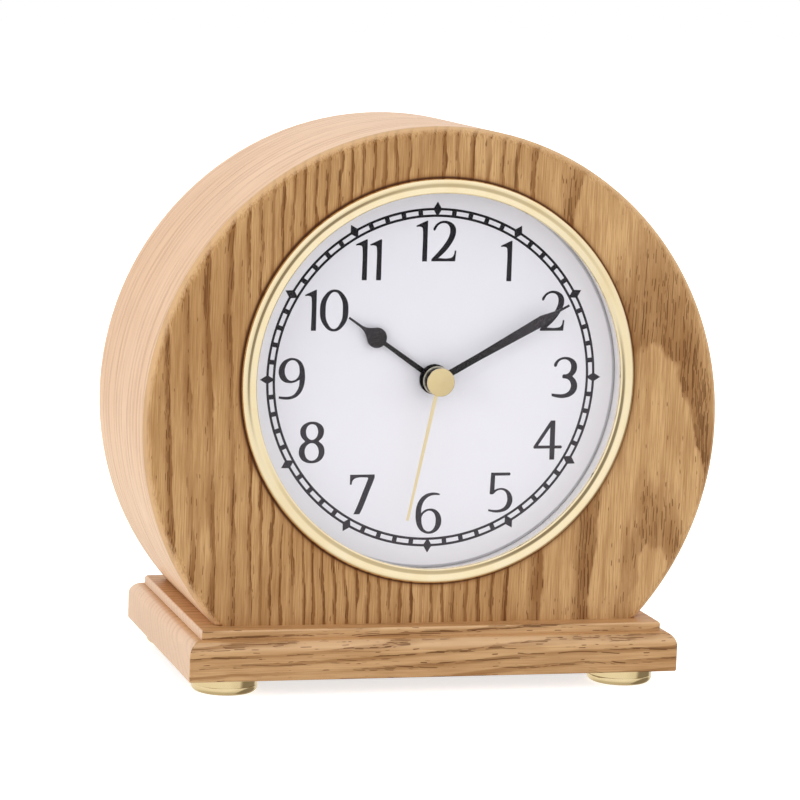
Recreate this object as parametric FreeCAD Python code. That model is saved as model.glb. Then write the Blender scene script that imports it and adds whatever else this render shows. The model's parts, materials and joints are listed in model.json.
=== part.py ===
import FreeCAD, Part
import math
import os
from FreeCAD import Vector

# A wooden mantel clock: a round drum case cut flat at the bottom, standing on a moulded plinth
# with four brass feet. A brass-rimmed dial insert with a quartz movement fills the front.
# Millimetres. +Z up, +X to the right seen from the front, the dial faces -Y.
# The origin is on the table, under the middle of the plinth.

# ---- driving dimensions -------------------------------------------------------------------
# case
case_radius = 84.0
case_depth = 69.0
case_centre_below_dial = 12.4
hoop_wall = 6.0
hoop_rear_round = 1.0
front_board_thickness = 14.0
front_edge_round = 3.2
front_edge_land = 0.06
rear_board_thickness = 5.0
rear_board_inset = 0.5
rear_opening_radius = 50.0
floor_board_thickness = 8.0
board_fit = 0.1
# plinth
plinth_width = 143.0
plinth_board_thickness = 11.2
plinth_overhang_front = 9.5
plinth_overhang_rear = 10.0
ovolo_radius = 3.8
step_inset = 4.0
step_thickness = 2.5
step_edge_round = 0.7
# feet
foot_radius = 9.4
foot_height = 5.0
foot_edge_round = 1.5
foot_inset = 3.5
# dial insert
dial_above_step = 68.8
bore_radius = 56.0
bezel_overlap = 1.05
bezel_width = 3.65
bezel_lip_width = 0.85
bezel_lip_round = 0.45
bezel_lip_proud = 1.65
bezel_lip_drop = 0.1
bezel_bead_width = 1.65
bezel_bead_proud = 1.8
bezel_bead_drop = 1.0
bezel_groove_proud = 1.15
bezel_cove_crown = 0.12
bezel_skirt_wall = 0.5
bezel_skirt_length = 5.0
bezel_fit = 0.1
glass_thickness = 1.2
glass_rim_width = 2.2
glass_dome_rise = 2.6
glass_front_depth = -0.4
glass_fit = 0.2
gasket_thickness = 0.5
cup_wall = 0.7
cup_floor_thickness = 1.5
cup_fit = 0.1
dial_depth = 7.8
dial_thickness = 0.5
dial_fit = 0.2
lug_rise_angle = 20.0
lug_width = 8.0
lug_thickness = 2.0
lug_stem_inset = 8.3
lug_stem_width = 6.0
lug_screw_margin = 4.0
lug_end_margin = 4.0
# movement housing
movement_top = 22.0
movement_thickness = 16.0
movement_split = 8.2
movement_corner = 3.0
shell_wall = 1.2
cover_wall = 1.5
bay_fit = 0.25
ear_reach = 7.0
ear_height = 8.0
ear_thickness = 1.5
ear_level = 10.0
ear_standoff = 5.0
ear_screw_offset = 4.0
post_radius = 2.5
pillar_radius = 1.5
pillar_side_inset = 2.0
pillar_top_inset = 4.0
pillar_bay_inset = 2.5
plate_thickness = 1.0
plate_depth = 7.1
plate_coil_gap = 1.6
plate_gap = 0.3
# pipes and arbors, from the innermost outwards
second_arbor_radius = 0.65
minute_pipe_radius = 1.6
hour_pipe_radius = 2.6
boss_radius = 3.4
boss_proud = 0.6
boss_end_gap = 0.3
pipe_proud = 0.3
pipe_fit = 0.1
pivot_fit = 0.05
pivot_depth = 0.7
pivot_end_gap = 0.1
arbor_stub = 0.4
third_arbor_radius = 0.4
intermediate_arbor_radius = 0.35
rotor_arbor_radius = 0.3
setting_stem_radius = 0.8
clutch_fit = 0.02
# tooth counts and modules; each pair of meshes on one axis shares its centre distance
second_wheel_teeth = 48
second_pinion_teeth = 8
third_wheel_teeth = 60
third_pinion_teeth = 8
centre_wheel_teeth = 64
cannon_pinion_teeth = 12
motion_wheel_teeth = 36
motion_pinion_teeth = 10
hour_wheel_teeth = 40
intermediate_wheel_teeth = 40
intermediate_pinion_teeth = 8
rotor_pinion_teeth = 8
third_module = 0.25
cannon_module = 0.375
motor_module = 0.2
wheel_thickness = 0.7
pinion_overlap = 0.2
cover_to_hour = 0.7
hour_to_motion = 2.0
motion_to_centre = 1.5
plate_to_third = 1.1
third_to_second = 1.6
second_to_motor = 1.6
motor_to_magnet = 0.7
centre_hole_count = 3
centre_hole_at = 4.4
centre_hole_radius = 1.4
third_direction = 200.0
motion_direction = 315.0
motor_direction = 20.0
# motor and electrics
magnet_radius = 3.0
magnet_length = 2.6
stator_air_gap = 0.3
stator_neck = 0.5
stator_thickness = 0.8
stator_low = -4.5
stator_high = 14.0
stator_leg = 3.0
stator_behind_third = 0.6
stator_pin_radius = 1.0
coil_wall_gap = 3.4
coil_radius = 3.0
bobbin_flange_radius = 3.4
bobbin_flange_thickness = 0.6
bobbin_core_radius = 1.6
core_width = 2.0
core_thickness = 0.8
board_thickness = 0.8
board_wall_gap = 0.8
board_arm_width = 9.5
board_top = 20.0
board_bottom = -13.0
board_upper_arm_low = 11.5
board_upper_arm_right = 4.0
crystal_radius = 1.0
crystal_length = 6.0
chip_radius = 2.6
chip_height = 1.0
chip_edge_round = 0.6
# battery, standard AA
battery_radius = 7.25
battery_length = 50.5
battery_nub_radius = 2.7
battery_nub_length = 1.3
battery_below_axis = 24.2
battery_clearance = 0.15
contact_thickness = 0.3
contact_width = 8.0
contact_fit = 0.1
contact_reach = 1.15
contact_dimple_radius = 2.2
contact_dimple_tip = 1.3
# hands, heights above the dial
hour_hand_height = 1.5
minute_hand_height = 4.6
second_hand_height = 6.65
hand_thickness = 0.4
second_hand_thickness = 0.25
hour_hand_angle = 304.2
minute_hand_angle = 60.5
second_hand_angle = 191.0
hour_hand_length = 30.8
hour_hand_root_width = 1.6
hour_hand_neck_width = 1.15
hour_hand_spot_radius = 2.9
hour_hand_spot_at = 20.8
# the spot's drop-shaped end: how far beyond its middle, and half the width there
hour_hand_shoulder = [(2.1, 2.0), (2.8, 1.45), (3.6, 0.95), (4.4, 0.6), (5.4, 0.38)]
hour_hub_radius = 4.3
minute_hand_length = 43.9
minute_hand_root_width = 1.95
minute_hand_root_until = 14.0
minute_hand_wide_width = 3.05
minute_hand_wide_at = 35.0
minute_hand_tip_from = 40.8
minute_hub_radius = 4.1
minute_boss_radius = 3.7
minute_boss_height = 1.2
second_hand_length = 40.3
second_hand_root_width = 1.1
second_hand_tip_width = 0.7
second_hub_radius = 2.0
cap_radius = 4.0
cap_thickness = 1.8
cap_collar_radius = 1.2
cap_collar_height = 0.5
cap_edge_round = 0.25
hand_tip_width = 0.62
# setting knob
knob_radius = 6.5
knob_height = 4.0
knob_clearance = 0.4
knob_edge_round = 0.6
knob_cap = 1.0
knob_rib_count = 18
knob_rib_radius = 0.6
knob_rib_depth = 0.36
# wood screws
plinth_screw_shank = 1.75
plinth_screw_head = 3.6
plinth_screw_head_height = 2.2
plinth_screw_grip = 4.0
plinth_screw_bite = 6.0
plinth_screw_x = 36.0
plinth_screw_y = 16.0
screw_clearance = 0.15
foot_screw_shank = 1.5
foot_screw_head = 3.2
foot_screw_head_height = 1.8
foot_screw_recess = 0.6
foot_screw_bite = 7.0
cup_screw_shank = 1.1
cup_screw_head = 2.4
cup_screw_head_height = 1.5
cup_screw_bite = 8.0
movement_screw_shank = 1.0
movement_screw_head = 2.0
movement_screw_head_height = 1.3
movement_screw_bite = 4.3
# how far a cutting tool runs past the face it cuts through
through = 1.0

# ---- places worked out from them ----------------------------------------------------------
plinth_depth = case_depth + plinth_overhang_front + plinth_overhang_rear
plinth_top = foot_height + plinth_board_thickness
step_top = plinth_top + step_thickness
dial_z = step_top + dial_above_step
case_z = dial_z - case_centre_below_dial
face_y = -plinth_depth / 2 + plinth_overhang_front
hoop_inner = case_radius - hoop_wall
bezel_outer_radius = bore_radius + bezel_overlap
bezel_inner_radius = bezel_outer_radius - bezel_width
bezel_groove_radius = bezel_outer_radius - bezel_bead_width
skirt_outer = bore_radius - bezel_fit
skirt_inner = skirt_outer - bezel_skirt_wall
cup_outer = skirt_inner - cup_fit
cup_inner = cup_outer - cup_wall
lug_inner_radius = cup_outer - lug_stem_inset
lug_screw_radius_at = bore_radius + lug_screw_margin
lug_reach = lug_screw_radius_at + lug_end_margin
glass_radius = skirt_inner - glass_fit
glass_back_depth = glass_front_depth + glass_thickness
cup_front_depth = glass_back_depth + gasket_thickness
cup_back_depth = dial_depth + dial_thickness + cup_floor_thickness
contact_wall_x = battery_length / 2 + contact_fit + contact_reach + contact_thickness
movement_half_width = contact_wall_x + shell_wall
bay_wall_top = -battery_below_axis + battery_radius + bay_fit + shell_wall
movement_bottom = -battery_below_axis - battery_radius - bay_fit - shell_wall
coil_axis_x = contact_wall_x - coil_wall_gap - bobbin_flange_radius
plate_right = coil_axis_x - bobbin_flange_radius - plate_coil_gap
board_edge = -contact_wall_x + board_wall_gap
board_arm_right = board_edge + board_arm_width
movement_front = cup_back_depth
movement_back = movement_front + movement_thickness
movement_joint = movement_front + movement_split
inside_front = movement_front + cover_wall
inside_back = movement_back - cover_wall
plate_front = movement_front + plate_depth
plate_back = plate_front + plate_thickness
pivot_end = inside_back + pivot_depth
level_hour = inside_front + cover_to_hour
level_motion = level_hour + hour_to_motion
level_centre = level_motion + motion_to_centre
level_third = plate_back + plate_to_third
level_second = level_third + third_to_second
level_motor = level_second + second_to_motor
second_pinion_module = third_module
third_distance = (second_pinion_teeth + third_wheel_teeth) * third_module / 2
centre_module = 2 * third_distance / (third_pinion_teeth + centre_wheel_teeth)
motion_distance = (cannon_pinion_teeth + motion_wheel_teeth) * cannon_module / 2
hour_module = 2 * motion_distance / (motion_pinion_teeth + hour_wheel_teeth)
intermediate_distance = (second_wheel_teeth + intermediate_pinion_teeth) * motor_module / 2
rotor_distance = (intermediate_wheel_teeth + rotor_pinion_teeth) * motor_module / 2
battery_depth = inside_front + battery_clearance + battery_radius


def polar(distance, direction):
    angle = math.radians(direction)
    return distance * math.cos(angle), distance * math.sin(angle)


third_x, third_z = polar(third_distance, third_direction)
motion_x, motion_z = polar(motion_distance, motion_direction)
intermediate_x, intermediate_z = polar(intermediate_distance, motor_direction)
rotor_x, rotor_z = polar(intermediate_distance + rotor_distance, motor_direction)
stator_hole_radius = magnet_radius + stator_air_gap
stator_half_width = stator_hole_radius + stator_neck
stator_front = level_third + stator_behind_third
pillars = [(x, h) for x in (board_edge + pillar_side_inset, plate_right - pillar_side_inset)
           for h in (movement_top - pillar_top_inset, bay_wall_top + pillar_bay_inset)]


# ---- helpers ------------------------------------------------------------------------------
# x is across, s is the depth behind the wooden face, h is the height above the dial centre.
def point(x, s, h):
    return Vector(x, face_y + s, dial_z + h)


def rod(x, h, s0, s1, radius):
    return Part.makeCylinder(radius, s1 - s0, point(x, s0, h), Vector(0, 1, 0))


def tube(x, h, s0, s1, outer, inner):
    return rod(x, h, s0, s1, outer).cut(rod(x, h, s0, s1, inner))


def block(x0, x1, s0, s1, h0, h1):
    return Part.makeBox(x1 - x0, s1 - s0, h1 - h0, point(x0, s0, h0))


def upright(x, y, z0, z1, radius):
    return Part.makeCylinder(radius, z1 - z0, Vector(x, y, z0), Vector(0, 0, 1))


def fused(shapes):
    return shapes[0].multiFuse(shapes[1:]).removeSplitter()


def line(a, b):
    return Part.LineSegment(a, b).toShape()


def arc(a, b, c):
    return Part.Arc(a, b, c).toShape()


def turned(edges):
    """Solid of revolution about the dial axis from a closed profile in the plane x >= 0."""
    face = Part.Face(Part.Wire(edges))
    return face.revolve(point(0, 0, 0), Vector(0, 1, 0), 360)


def closed_chain(points):
    return [line(a, b) for a, b in zip(points, points[1:] + points[:1])]


def outline_solid(points, s0, s1):
    """Flat piece: a polygon of (x, h) points, thick from depth s0 to s1."""
    face = Part.Face(Part.Wire(closed_chain([point(x, s0, h) for x, h in points])))
    return face.extrude(Vector(0, s1 - s0, 0))


def rounded_plate(x0, x1, s0, s1, h0, h1, corner):
    plate = block(x0, x1, s0, s1, h0, h1)
    corners = [e for e in plate.Edges if abs(e.Vertexes[0].Y - e.Vertexes[-1].Y) > (s1 - s0) / 2]
    return plate.makeFillet(corner, corners)


def gear(x, h, teeth, module, s0, s1, tooth_at):
    """Toothed disc with one tooth centred on the direction tooth_at, in degrees."""
    root = module * (teeth / 2 - 1.0)
    tip = module * (teeth / 2 + 0.8)
    root_half = math.asin(0.25 * math.pi * module / root)
    tip_half = math.asin(0.1 * math.pi * module / tip)
    outline = []
    for index in range(teeth):
        middle = math.radians(tooth_at) + 2 * math.pi * index / teeth
        for radius, offset in ((root, -root_half), (tip, -tip_half), (tip, tip_half), (root, root_half)):
            outline.append((x + radius * math.cos(middle + offset), h + radius * math.sin(middle + offset)))
    return outline_solid(outline, s0, s1)


def gap_towards(direction, teeth):
    """Tooth direction that leaves a gap facing the given direction."""
    return direction + 180.0 / teeth


def spun(shape, clock_angle):
    """Turn a hand that was drawn pointing to twelve to its place on the dial."""
    turned_shape = shape.copy()
    turned_shape.rotate(point(0, 0, 0), Vector(0, 1, 0), clock_angle)
    return turned_shape


def flat_head_screw(x, y, z_head, z_tip, shank, head, head_height):
    """Countersunk screw standing upright with its head down, flush at z_head."""
    cone = Part.makeCone(head, shank, head_height, Vector(x, y, z_head), Vector(0, 0, 1))
    return cone.fuse(upright(x, y, z_head + head_height, z_tip, shank)).removeSplitter()


def pan_head_screw(x, h, s_seat, s_tip, shank, head, head_height):
    """Screw driven forwards from behind, its head seated at depth s_seat."""
    return rod(x, h, s_tip, s_seat, shank).fuse(rod(x, h, s_seat, s_seat + head_height, head))


# ---- case and plinth ----------------------------------------------------------------------
def above_step(shape):
    """Cut the round case shapes flat where they stand on the plinth's step."""
    room = 2 * case_radius + plinth_depth
    below = Part.makeBox(2 * room, 2 * room, room, Vector(-room, -room, step_top - room))
    return shape.cut(below)


def case_drum(s0, s1, radius):
    return rod(0, case_z - dial_z, s0, s1, radius)


def front_board():
    lip = case_drum(0, front_edge_round, case_radius)
    rim = [e for e in lip.Edges if abs(e.CenterOfMass.y - face_y) < 1e-6]
    lip = lip.makeFillet(front_edge_round - front_edge_land, rim)
    spigot = case_drum(front_edge_round, front_board_thickness, hoop_inner - board_fit)
    board = above_step(lip.fuse(spigot).removeSplitter())
    board = board.cut(rod(0, 0, -through, front_board_thickness + through, bore_radius))
    for x, h in lug_screw_places():
        pilot = rod(x, h, front_board_thickness - cup_screw_bite, front_board_thickness, cup_screw_shank)
        board = board.cut(pilot)
    return board


def case_hoop():
    outer = case_drum(front_edge_round, case_depth, case_radius)
    rim = [e for e in outer.Edges if abs(e.CenterOfMass.y - face_y - case_depth) < 1e-6]
    outer = outer.makeFillet(hoop_rear_round, rim)
    return above_step(outer.cut(case_drum(0, case_depth + through, hoop_inner)))


def rear_board_depths():
    back = case_depth - rear_board_inset
    return back - rear_board_thickness, back


def rear_board():
    s0, s1 = rear_board_depths()
    board = above_step(case_drum(s0, s1, hoop_inner - board_fit))
    return board.cut(rod(0, 0, s0 - through, s1 + through, rear_opening_radius))


def plinth_screw_places():
    return [(sx * plinth_screw_x, sy * plinth_screw_y) for sx in (-1, 1) for sy in (-1, 1)]


def floor_board():
    s0, s1 = front_board_thickness, rear_board_depths()[0]
    board = case_drum(s0, s1, hoop_inner - board_fit)
    h0 = step_top - dial_z
    board = board.common(block(-case_radius, case_radius, s0, s1, h0, h0 + floor_board_thickness))
    for x, y in plinth_screw_places():
        board = board.cut(upright(x, y, step_top, step_top + plinth_screw_bite, plinth_screw_shank))
    return board


def plinth_layer(inset, z0, z1, edge_round):
    width = plinth_width - 2 * inset
    depth = plinth_depth - 2 * inset
    layer = Part.makeBox(width, depth, z1 - z0, Vector(-width / 2, -depth / 2, z0))
    top_edges = [e for e in layer.Edges if all(abs(v.Z - z1) < 1e-6 for v in e.Vertexes)]
    return layer.makeFillet(edge_round, top_edges)


def foot_places():
    x = plinth_width / 2 - foot_inset - foot_radius
    y = plinth_depth / 2 - foot_inset - foot_radius
    return {"foot_front_left": (-x, -y), "foot_front_right": (x, -y),
            "foot_rear_left": (-x, y), "foot_rear_right": (x, y)}


def plinth_screw_head_z():
    return step_top - plinth_screw_grip - plinth_screw_head_height


def plinth():
    board = plinth_layer(0, foot_height, plinth_top, ovolo_radius)
    step = plinth_layer(step_inset, plinth_top, step_top, step_edge_round)
    body = board.fuse(step).removeSplitter()
    seat = plinth_screw_head_z()
    for x, y in plinth_screw_places():
        body = body.cut(upright(x, y, foot_height, seat, plinth_screw_head + screw_clearance))
        body = body.cut(Part.makeCone(plinth_screw_head + screw_clearance, plinth_screw_shank,
                                      plinth_screw_head_height, Vector(x, y, seat), Vector(0, 0, 1)))
        body = body.cut(upright(x, y, seat + plinth_screw_head_height, step_top, plinth_screw_shank))
    for x, y in foot_places().values():
        body = body.cut(upright(x, y, foot_height, foot_height + foot_screw_bite, foot_screw_shank))
    return body


def plinth_screws():
    seat = plinth_screw_head_z()
    return Part.makeCompound([
        flat_head_screw(x, y, seat, step_top + plinth_screw_bite, plinth_screw_shank,
                        plinth_screw_head, plinth_screw_head_height)
        for x, y in plinth_screw_places()])


def foot(x, y):
    body = upright(x, y, 0, foot_height, foot_radius)
    rim = [e for e in body.Edges if abs(e.CenterOfMass.z) < 1e-6 and e.Length > foot_radius]
    body = body.makeFillet(foot_edge_round, rim)
    seat = foot_screw_recess + foot_screw_head_height
    body = body.cut(upright(x, y, 0, foot_screw_recess, foot_screw_head))
    body = body.cut(Part.makeCone(foot_screw_head, foot_screw_shank, foot_screw_head_height,
                                  Vector(x, y, foot_screw_recess), Vector(0, 0, 1)))
    return body.cut(upright(x, y, seat, foot_height, foot_screw_shank))


def foot_screws():
    return Part.makeCompound([
        flat_head_screw(x, y, foot_screw_recess, foot_height + foot_screw_bite, foot_screw_shank,
                        foot_screw_head, foot_screw_head_height)
        for x, y in foot_places().values()])


# ---- dial insert --------------------------------------------------------------------------
def bezel():
    """Pressed ring: rolled lip over the glass, shallow groove, outer bead and a hidden skirt."""
    lip_middle = bezel_inner_radius + bezel_lip_width / 2
    lip_end = bezel_inner_radius + bezel_lip_width
    cove_middle = (lip_end + bezel_groove_radius) / 2
    bead_middle = (bezel_groove_radius + bezel_outer_radius) / 2

    def p(radius, s):
        return point(radius, s, 0)

    inner_low = p(bezel_inner_radius, glass_front_depth)
    inner_high = p(bezel_inner_radius, -bezel_lip_proud + bezel_lip_round)
    lip_outer = p(lip_end, -bezel_lip_proud + bezel_lip_drop)
    groove = p(bezel_groove_radius, -bezel_groove_proud)
    bead_outer = p(bezel_outer_radius, -bezel_bead_proud + bezel_bead_drop)
    edges = [
        line(inner_low, inner_high),
        arc(inner_high, p(lip_middle, -bezel_lip_proud), lip_outer),
        arc(lip_outer, p(cove_middle, -bezel_groove_proud - bezel_cove_crown), groove),
        arc(groove, p(bead_middle, -bezel_bead_proud), bead_outer)]
    back = [bead_outer, p(bezel_outer_radius, 0), p(skirt_outer, 0), p(skirt_outer, bezel_skirt_length),
            p(skirt_inner, bezel_skirt_length), p(skirt_inner, glass_front_depth), inner_low]
    edges += [line(a, b) for a, b in zip(back, back[1:])]
    return turned(edges)


def glass():
    """Shallow domed lens with a flat rim that sits behind the bezel's lip."""
    dome = glass_radius - glass_rim_width
    sphere_radius = (dome ** 2 + glass_dome_rise ** 2) / (2 * glass_dome_rise)

    def cap_of_sphere(rim_depth):
        centre = point(0, rim_depth - glass_dome_rise + sphere_radius, 0)
        ball = Part.makeSphere(sphere_radius, centre)
        return ball.common(rod(0, 0, rim_depth - glass_dome_rise - through, rim_depth, glass_radius))

    rim = tube(0, 0, glass_front_depth, glass_back_depth, glass_radius, dome)
    filling = rod(0, 0, glass_front_depth, glass_back_depth, dome)
    lens = cap_of_sphere(glass_front_depth).fuse(filling)
    return lens.cut(cap_of_sphere(glass_back_depth)).fuse(rim).removeSplitter()


def glass_gasket():
    return tube(0, 0, glass_back_depth, cup_front_depth, cup_outer, cup_inner + dial_fit / 2)


def lug_directions():
    return [middle + side * lug_rise_angle for middle in (0.0, 180.0) for side in (-1, 1)]


def lug_screw_places():
    return [polar(lug_screw_radius_at, direction) for direction in lug_directions()]


def ear_places():
    reach = movement_half_width + ear_screw_offset
    return [(-reach, ear_level), (reach, ear_level)]


def lug(direction):
    """Bent arm from the cup's floor over the back of the front board, with a screw hole."""
    stem = block(lug_inner_radius, lug_inner_radius + lug_stem_width, cup_back_depth - cup_floor_thickness,
                 front_board_thickness + lug_thickness, -lug_width / 2, lug_width / 2)
    arm = block(lug_inner_radius, lug_reach, front_board_thickness,
                front_board_thickness + lug_thickness, -lug_width / 2, lug_width / 2)
    hole = rod(lug_screw_radius_at, 0, front_board_thickness - through,
               front_board_thickness + lug_thickness + through, cup_screw_shank)
    bent = stem.fuse(arm).cut(hole)
    bent.rotate(point(0, 0, 0), Vector(0, 1, 0), -direction)
    return bent


def dial_cup():
    """Moulded cup that holds the dial: its wall shows between the dial and the bezel."""
    wall = tube(0, 0, cup_front_depth, cup_back_depth, cup_outer, cup_inner)
    floor = rod(0, 0, dial_depth + dial_thickness, cup_back_depth, cup_outer)
    posts = [rod(x, h, cup_back_depth - cup_floor_thickness, cup_back_depth + ear_standoff, post_radius)
             for x, h in ear_places()]
    cup = fused([floor, wall] + posts + [lug(direction) for direction in lug_directions()])
    cup = cup.cut(rod(0, 0, dial_depth, cup_back_depth + through, boss_radius + pipe_fit))
    for x, h in ear_places():
        seat = cup_back_depth + ear_standoff
        cup = cup.cut(rod(x, h, seat - movement_screw_bite, seat, movement_screw_shank))
    return cup


def cup_screws():
    seat = front_board_thickness + lug_thickness
    return Part.makeCompound([
        pan_head_screw(x, h, seat, front_board_thickness - cup_screw_bite, cup_screw_shank,
                       cup_screw_head, cup_screw_head_height)
        for x, h in lug_screw_places()])


def dial_plate():
    return tube(0, 0, dial_depth, dial_depth + dial_thickness, cup_inner - dial_fit, boss_radius + pipe_fit)


# ---- movement housing ---------------------------------------------------------------------
def housing_shell(s0, s1):
    """Open rectangular wall with the partition between the train and the battery bay."""
    outer = rounded_plate(-movement_half_width, movement_half_width, s0, s1,
                          movement_bottom, movement_top, movement_corner)
    inner_x = contact_wall_x
    train = block(-inner_x, inner_x, s0, s1, bay_wall_top, movement_top - shell_wall)
    bay = block(-inner_x, inner_x, s0, s1, movement_bottom + shell_wall, bay_wall_top - shell_wall)
    return outer.cut(train).cut(bay)


def movement_front_case():
    cover = rounded_plate(-movement_half_width, movement_half_width, movement_front, inside_front,
                          movement_bottom, movement_top, movement_corner)
    boss = rod(0, 0, dial_depth - boss_proud, level_hour - boss_end_gap, boss_radius)
    posts = [rod(x, h, inside_front, plate_front, pillar_radius) for x, h in pillars]
    ears = []
    for side in (-1, 1):
        inner = side * (movement_half_width - shell_wall)
        outer = side * (movement_half_width + ear_reach)
        ears.append(block(min(inner, outer), max(inner, outer), movement_front + ear_standoff,
                          movement_front + ear_standoff + ear_thickness,
                          ear_level - ear_height / 2, ear_level + ear_height / 2))
    body = fused([cover, housing_shell(inside_front, movement_joint), boss] + posts + ears)
    body = body.cut(rod(0, 0, 0, movement_back, hour_pipe_radius + pipe_fit))
    body = body.cut(rod(motion_x, motion_z, inside_front - pivot_depth, inside_front,
                        setting_stem_radius + pivot_fit))
    for x, h in ear_places():
        body = body.cut(rod(x, h, movement_front, movement_joint, movement_screw_shank))
    return body


def movement_middle_plate():
    """Bearing plate between the hand-setting work and the train, with pins for the stator."""
    plate = block(-movement_half_width + shell_wall + plate_gap, plate_right, plate_front, plate_back,
                  bay_wall_top + plate_gap, movement_top - shell_wall - plate_gap)
    pins = [rod(rotor_x, h, plate_back, stator_front, stator_pin_radius) for h in stator_pin_heights()]
    body = fused([plate] + pins)
    for x, h, radius in ((0, 0, second_arbor_radius), (third_x, third_z, third_arbor_radius),
                         (motion_x, motion_z, setting_stem_radius)):
        body = body.cut(rod(x, h, plate_front, plate_back, radius + pivot_fit))
    for x, h, radius in ((intermediate_x, intermediate_z, intermediate_arbor_radius),
                         (rotor_x, rotor_z, rotor_arbor_radius)):
        body = body.cut(rod(x, h, plate_back - pivot_depth, plate_back, radius + pivot_fit))
    return body


def movement_rear_case():
    shell = housing_shell(movement_joint, movement_back)
    cover = rounded_plate(-movement_half_width, movement_half_width, inside_back, movement_back,
                          movement_bottom, movement_top, movement_corner)
    cover = cover.common(block(-movement_half_width, movement_half_width, inside_back, movement_back,
                               bay_wall_top - shell_wall, movement_top))
    posts = []
    for x, h in pillars:
        seat = plate_back + board_thickness if x < board_arm_right else plate_back
        posts.append(rod(x, h, seat, inside_back, pillar_radius))
    body = fused([shell, cover] + posts)
    for x, h, radius in ((0, 0, second_arbor_radius), (third_x, third_z, third_arbor_radius),
                         (intermediate_x, intermediate_z, intermediate_arbor_radius),
                         (rotor_x, rotor_z, rotor_arbor_radius)):
        body = body.cut(rod(x, h, inside_back, pivot_end + pivot_end_gap, radius + pivot_fit))
    return body.cut(rod(motion_x, motion_z, inside_back, movement_back, setting_stem_radius + pivot_fit))


def movement_screws():
    seat = movement_front + ear_standoff + ear_thickness
    tip = movement_front + ear_standoff - movement_screw_bite
    return Part.makeCompound([
        pan_head_screw(x, h, seat, tip, movement_screw_shank, movement_screw_head, movement_screw_head_height)
        for x, h in ear_places()])


# ---- motor and electrics ------------------------------------------------------------------
def stator_pin_heights():
    return stator_low + stator_leg / 2, stator_high - stator_leg / 2


def stator_plate():
    """C-shaped lamination: a bored bar round the rotor and two legs under the coil's core."""
    back = stator_front + stator_thickness
    tip = coil_axis_x + core_width / 2
    bar = block(rotor_x - stator_half_width, rotor_x + stator_half_width, stator_front, back,
                stator_low, stator_high)
    low = block(rotor_x, tip, stator_front, back, stator_low, stator_low + stator_leg)
    high = block(rotor_x, tip, stator_front, back, stator_high - stator_leg, stator_high)
    return fused([bar, low, high]).cut(rod(rotor_x, rotor_z, stator_front, back, stator_hole_radius))


def core_depth():
    return stator_front + stator_thickness


def coil_core():
    return block(coil_axis_x - core_width / 2, coil_axis_x + core_width / 2, core_depth(),
                 core_depth() + core_thickness, stator_low, stator_high)


def coil_cylinder(h0, h1, radius):
    middle = core_depth() + core_thickness / 2
    return Part.makeCylinder(radius, h1 - h0, point(coil_axis_x, middle, h0), Vector(0, 0, 1))


def bobbin_span():
    return stator_low + stator_leg + plate_gap, stator_high - stator_leg - plate_gap


def coil_bobbin():
    low, high = bobbin_span()
    body = fused([coil_cylinder(low, high, bobbin_core_radius),
                  coil_cylinder(low, low + bobbin_flange_thickness, bobbin_flange_radius),
                  coil_cylinder(high - bobbin_flange_thickness, high, bobbin_flange_radius)])
    return body.cut(coil_core())


def coil_winding():
    low, high = bobbin_span()
    low += bobbin_flange_thickness
    high -= bobbin_flange_thickness
    return coil_cylinder(low, high, coil_radius).cut(coil_cylinder(low, high, bobbin_core_radius))


def circuit_board():
    back = plate_back + board_thickness
    column = block(board_edge, board_arm_right, plate_back, back, board_bottom, board_top)
    upper = block(board_edge, board_upper_arm_right, plate_back, back, board_upper_arm_low, board_top)
    return fused([column, upper])


def quartz_crystal():
    x = (board_edge + board_arm_right) / 2
    seat = plate_back + board_thickness + crystal_radius
    return Part.makeCylinder(crystal_radius, crystal_length, point(x, seat, -crystal_length / 2),
                             Vector(0, 0, 1))


def chip_blob():
    seat = plate_back + board_thickness
    height = (board_upper_arm_low + board_top) / 2
    blob = rod((board_arm_right + board_upper_arm_right) / 2, height, seat, seat + chip_height, chip_radius)
    rim = [e for e in blob.Edges if abs(e.CenterOfMass.y - face_y - seat - chip_height) < 1e-6]
    return blob.makeFillet(chip_edge_round, rim)


def battery():
    def along(x0, x1, radius):
        start = point(x0, battery_depth, -battery_below_axis)
        return Part.makeCylinder(radius, x1 - x0, start, Vector(1, 0, 0))

    half = battery_length / 2
    shoulder = half - battery_nub_length
    return fused([along(-half, shoulder, battery_radius), along(shoulder, half, battery_nub_radius)])


def contact_plate(side):
    wall = side * contact_wall_x
    face = wall - side * contact_thickness
    half = contact_width / 2
    return block(min(wall, face), max(wall, face), battery_depth - half, battery_depth + half,
                 -battery_below_axis - half, -battery_below_axis + half)


def battery_contact(side):
    """Plated strip against the bay's end wall, with a dimple that reaches the cell."""
    plate = contact_plate(side)
    inner = side * (contact_wall_x - contact_thickness)
    reach = side * (battery_length / 2 + contact_fit)
    start = Vector(inner, face_y + battery_depth, dial_z - battery_below_axis)
    dimple = Part.makeCone(contact_dimple_radius, contact_dimple_tip, abs(inner - reach), start,
                           Vector(-side, 0, 0))
    return plate.fuse(dimple).removeSplitter()


# ---- running train ------------------------------------------------------------------------
def second_wheel():
    arbor = rod(0, 0, second_seat() - cap_collar_height, pivot_end, second_arbor_radius)
    wheel = gear(0, 0, second_wheel_teeth, motor_module, level_second, level_second + wheel_thickness,
                 gap_towards(motor_direction, second_wheel_teeth))
    pinion = gear(0, 0, second_pinion_teeth, second_pinion_module, level_third - pinion_overlap,
                  level_second, third_direction)
    return fused([arbor, wheel, pinion])


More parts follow.
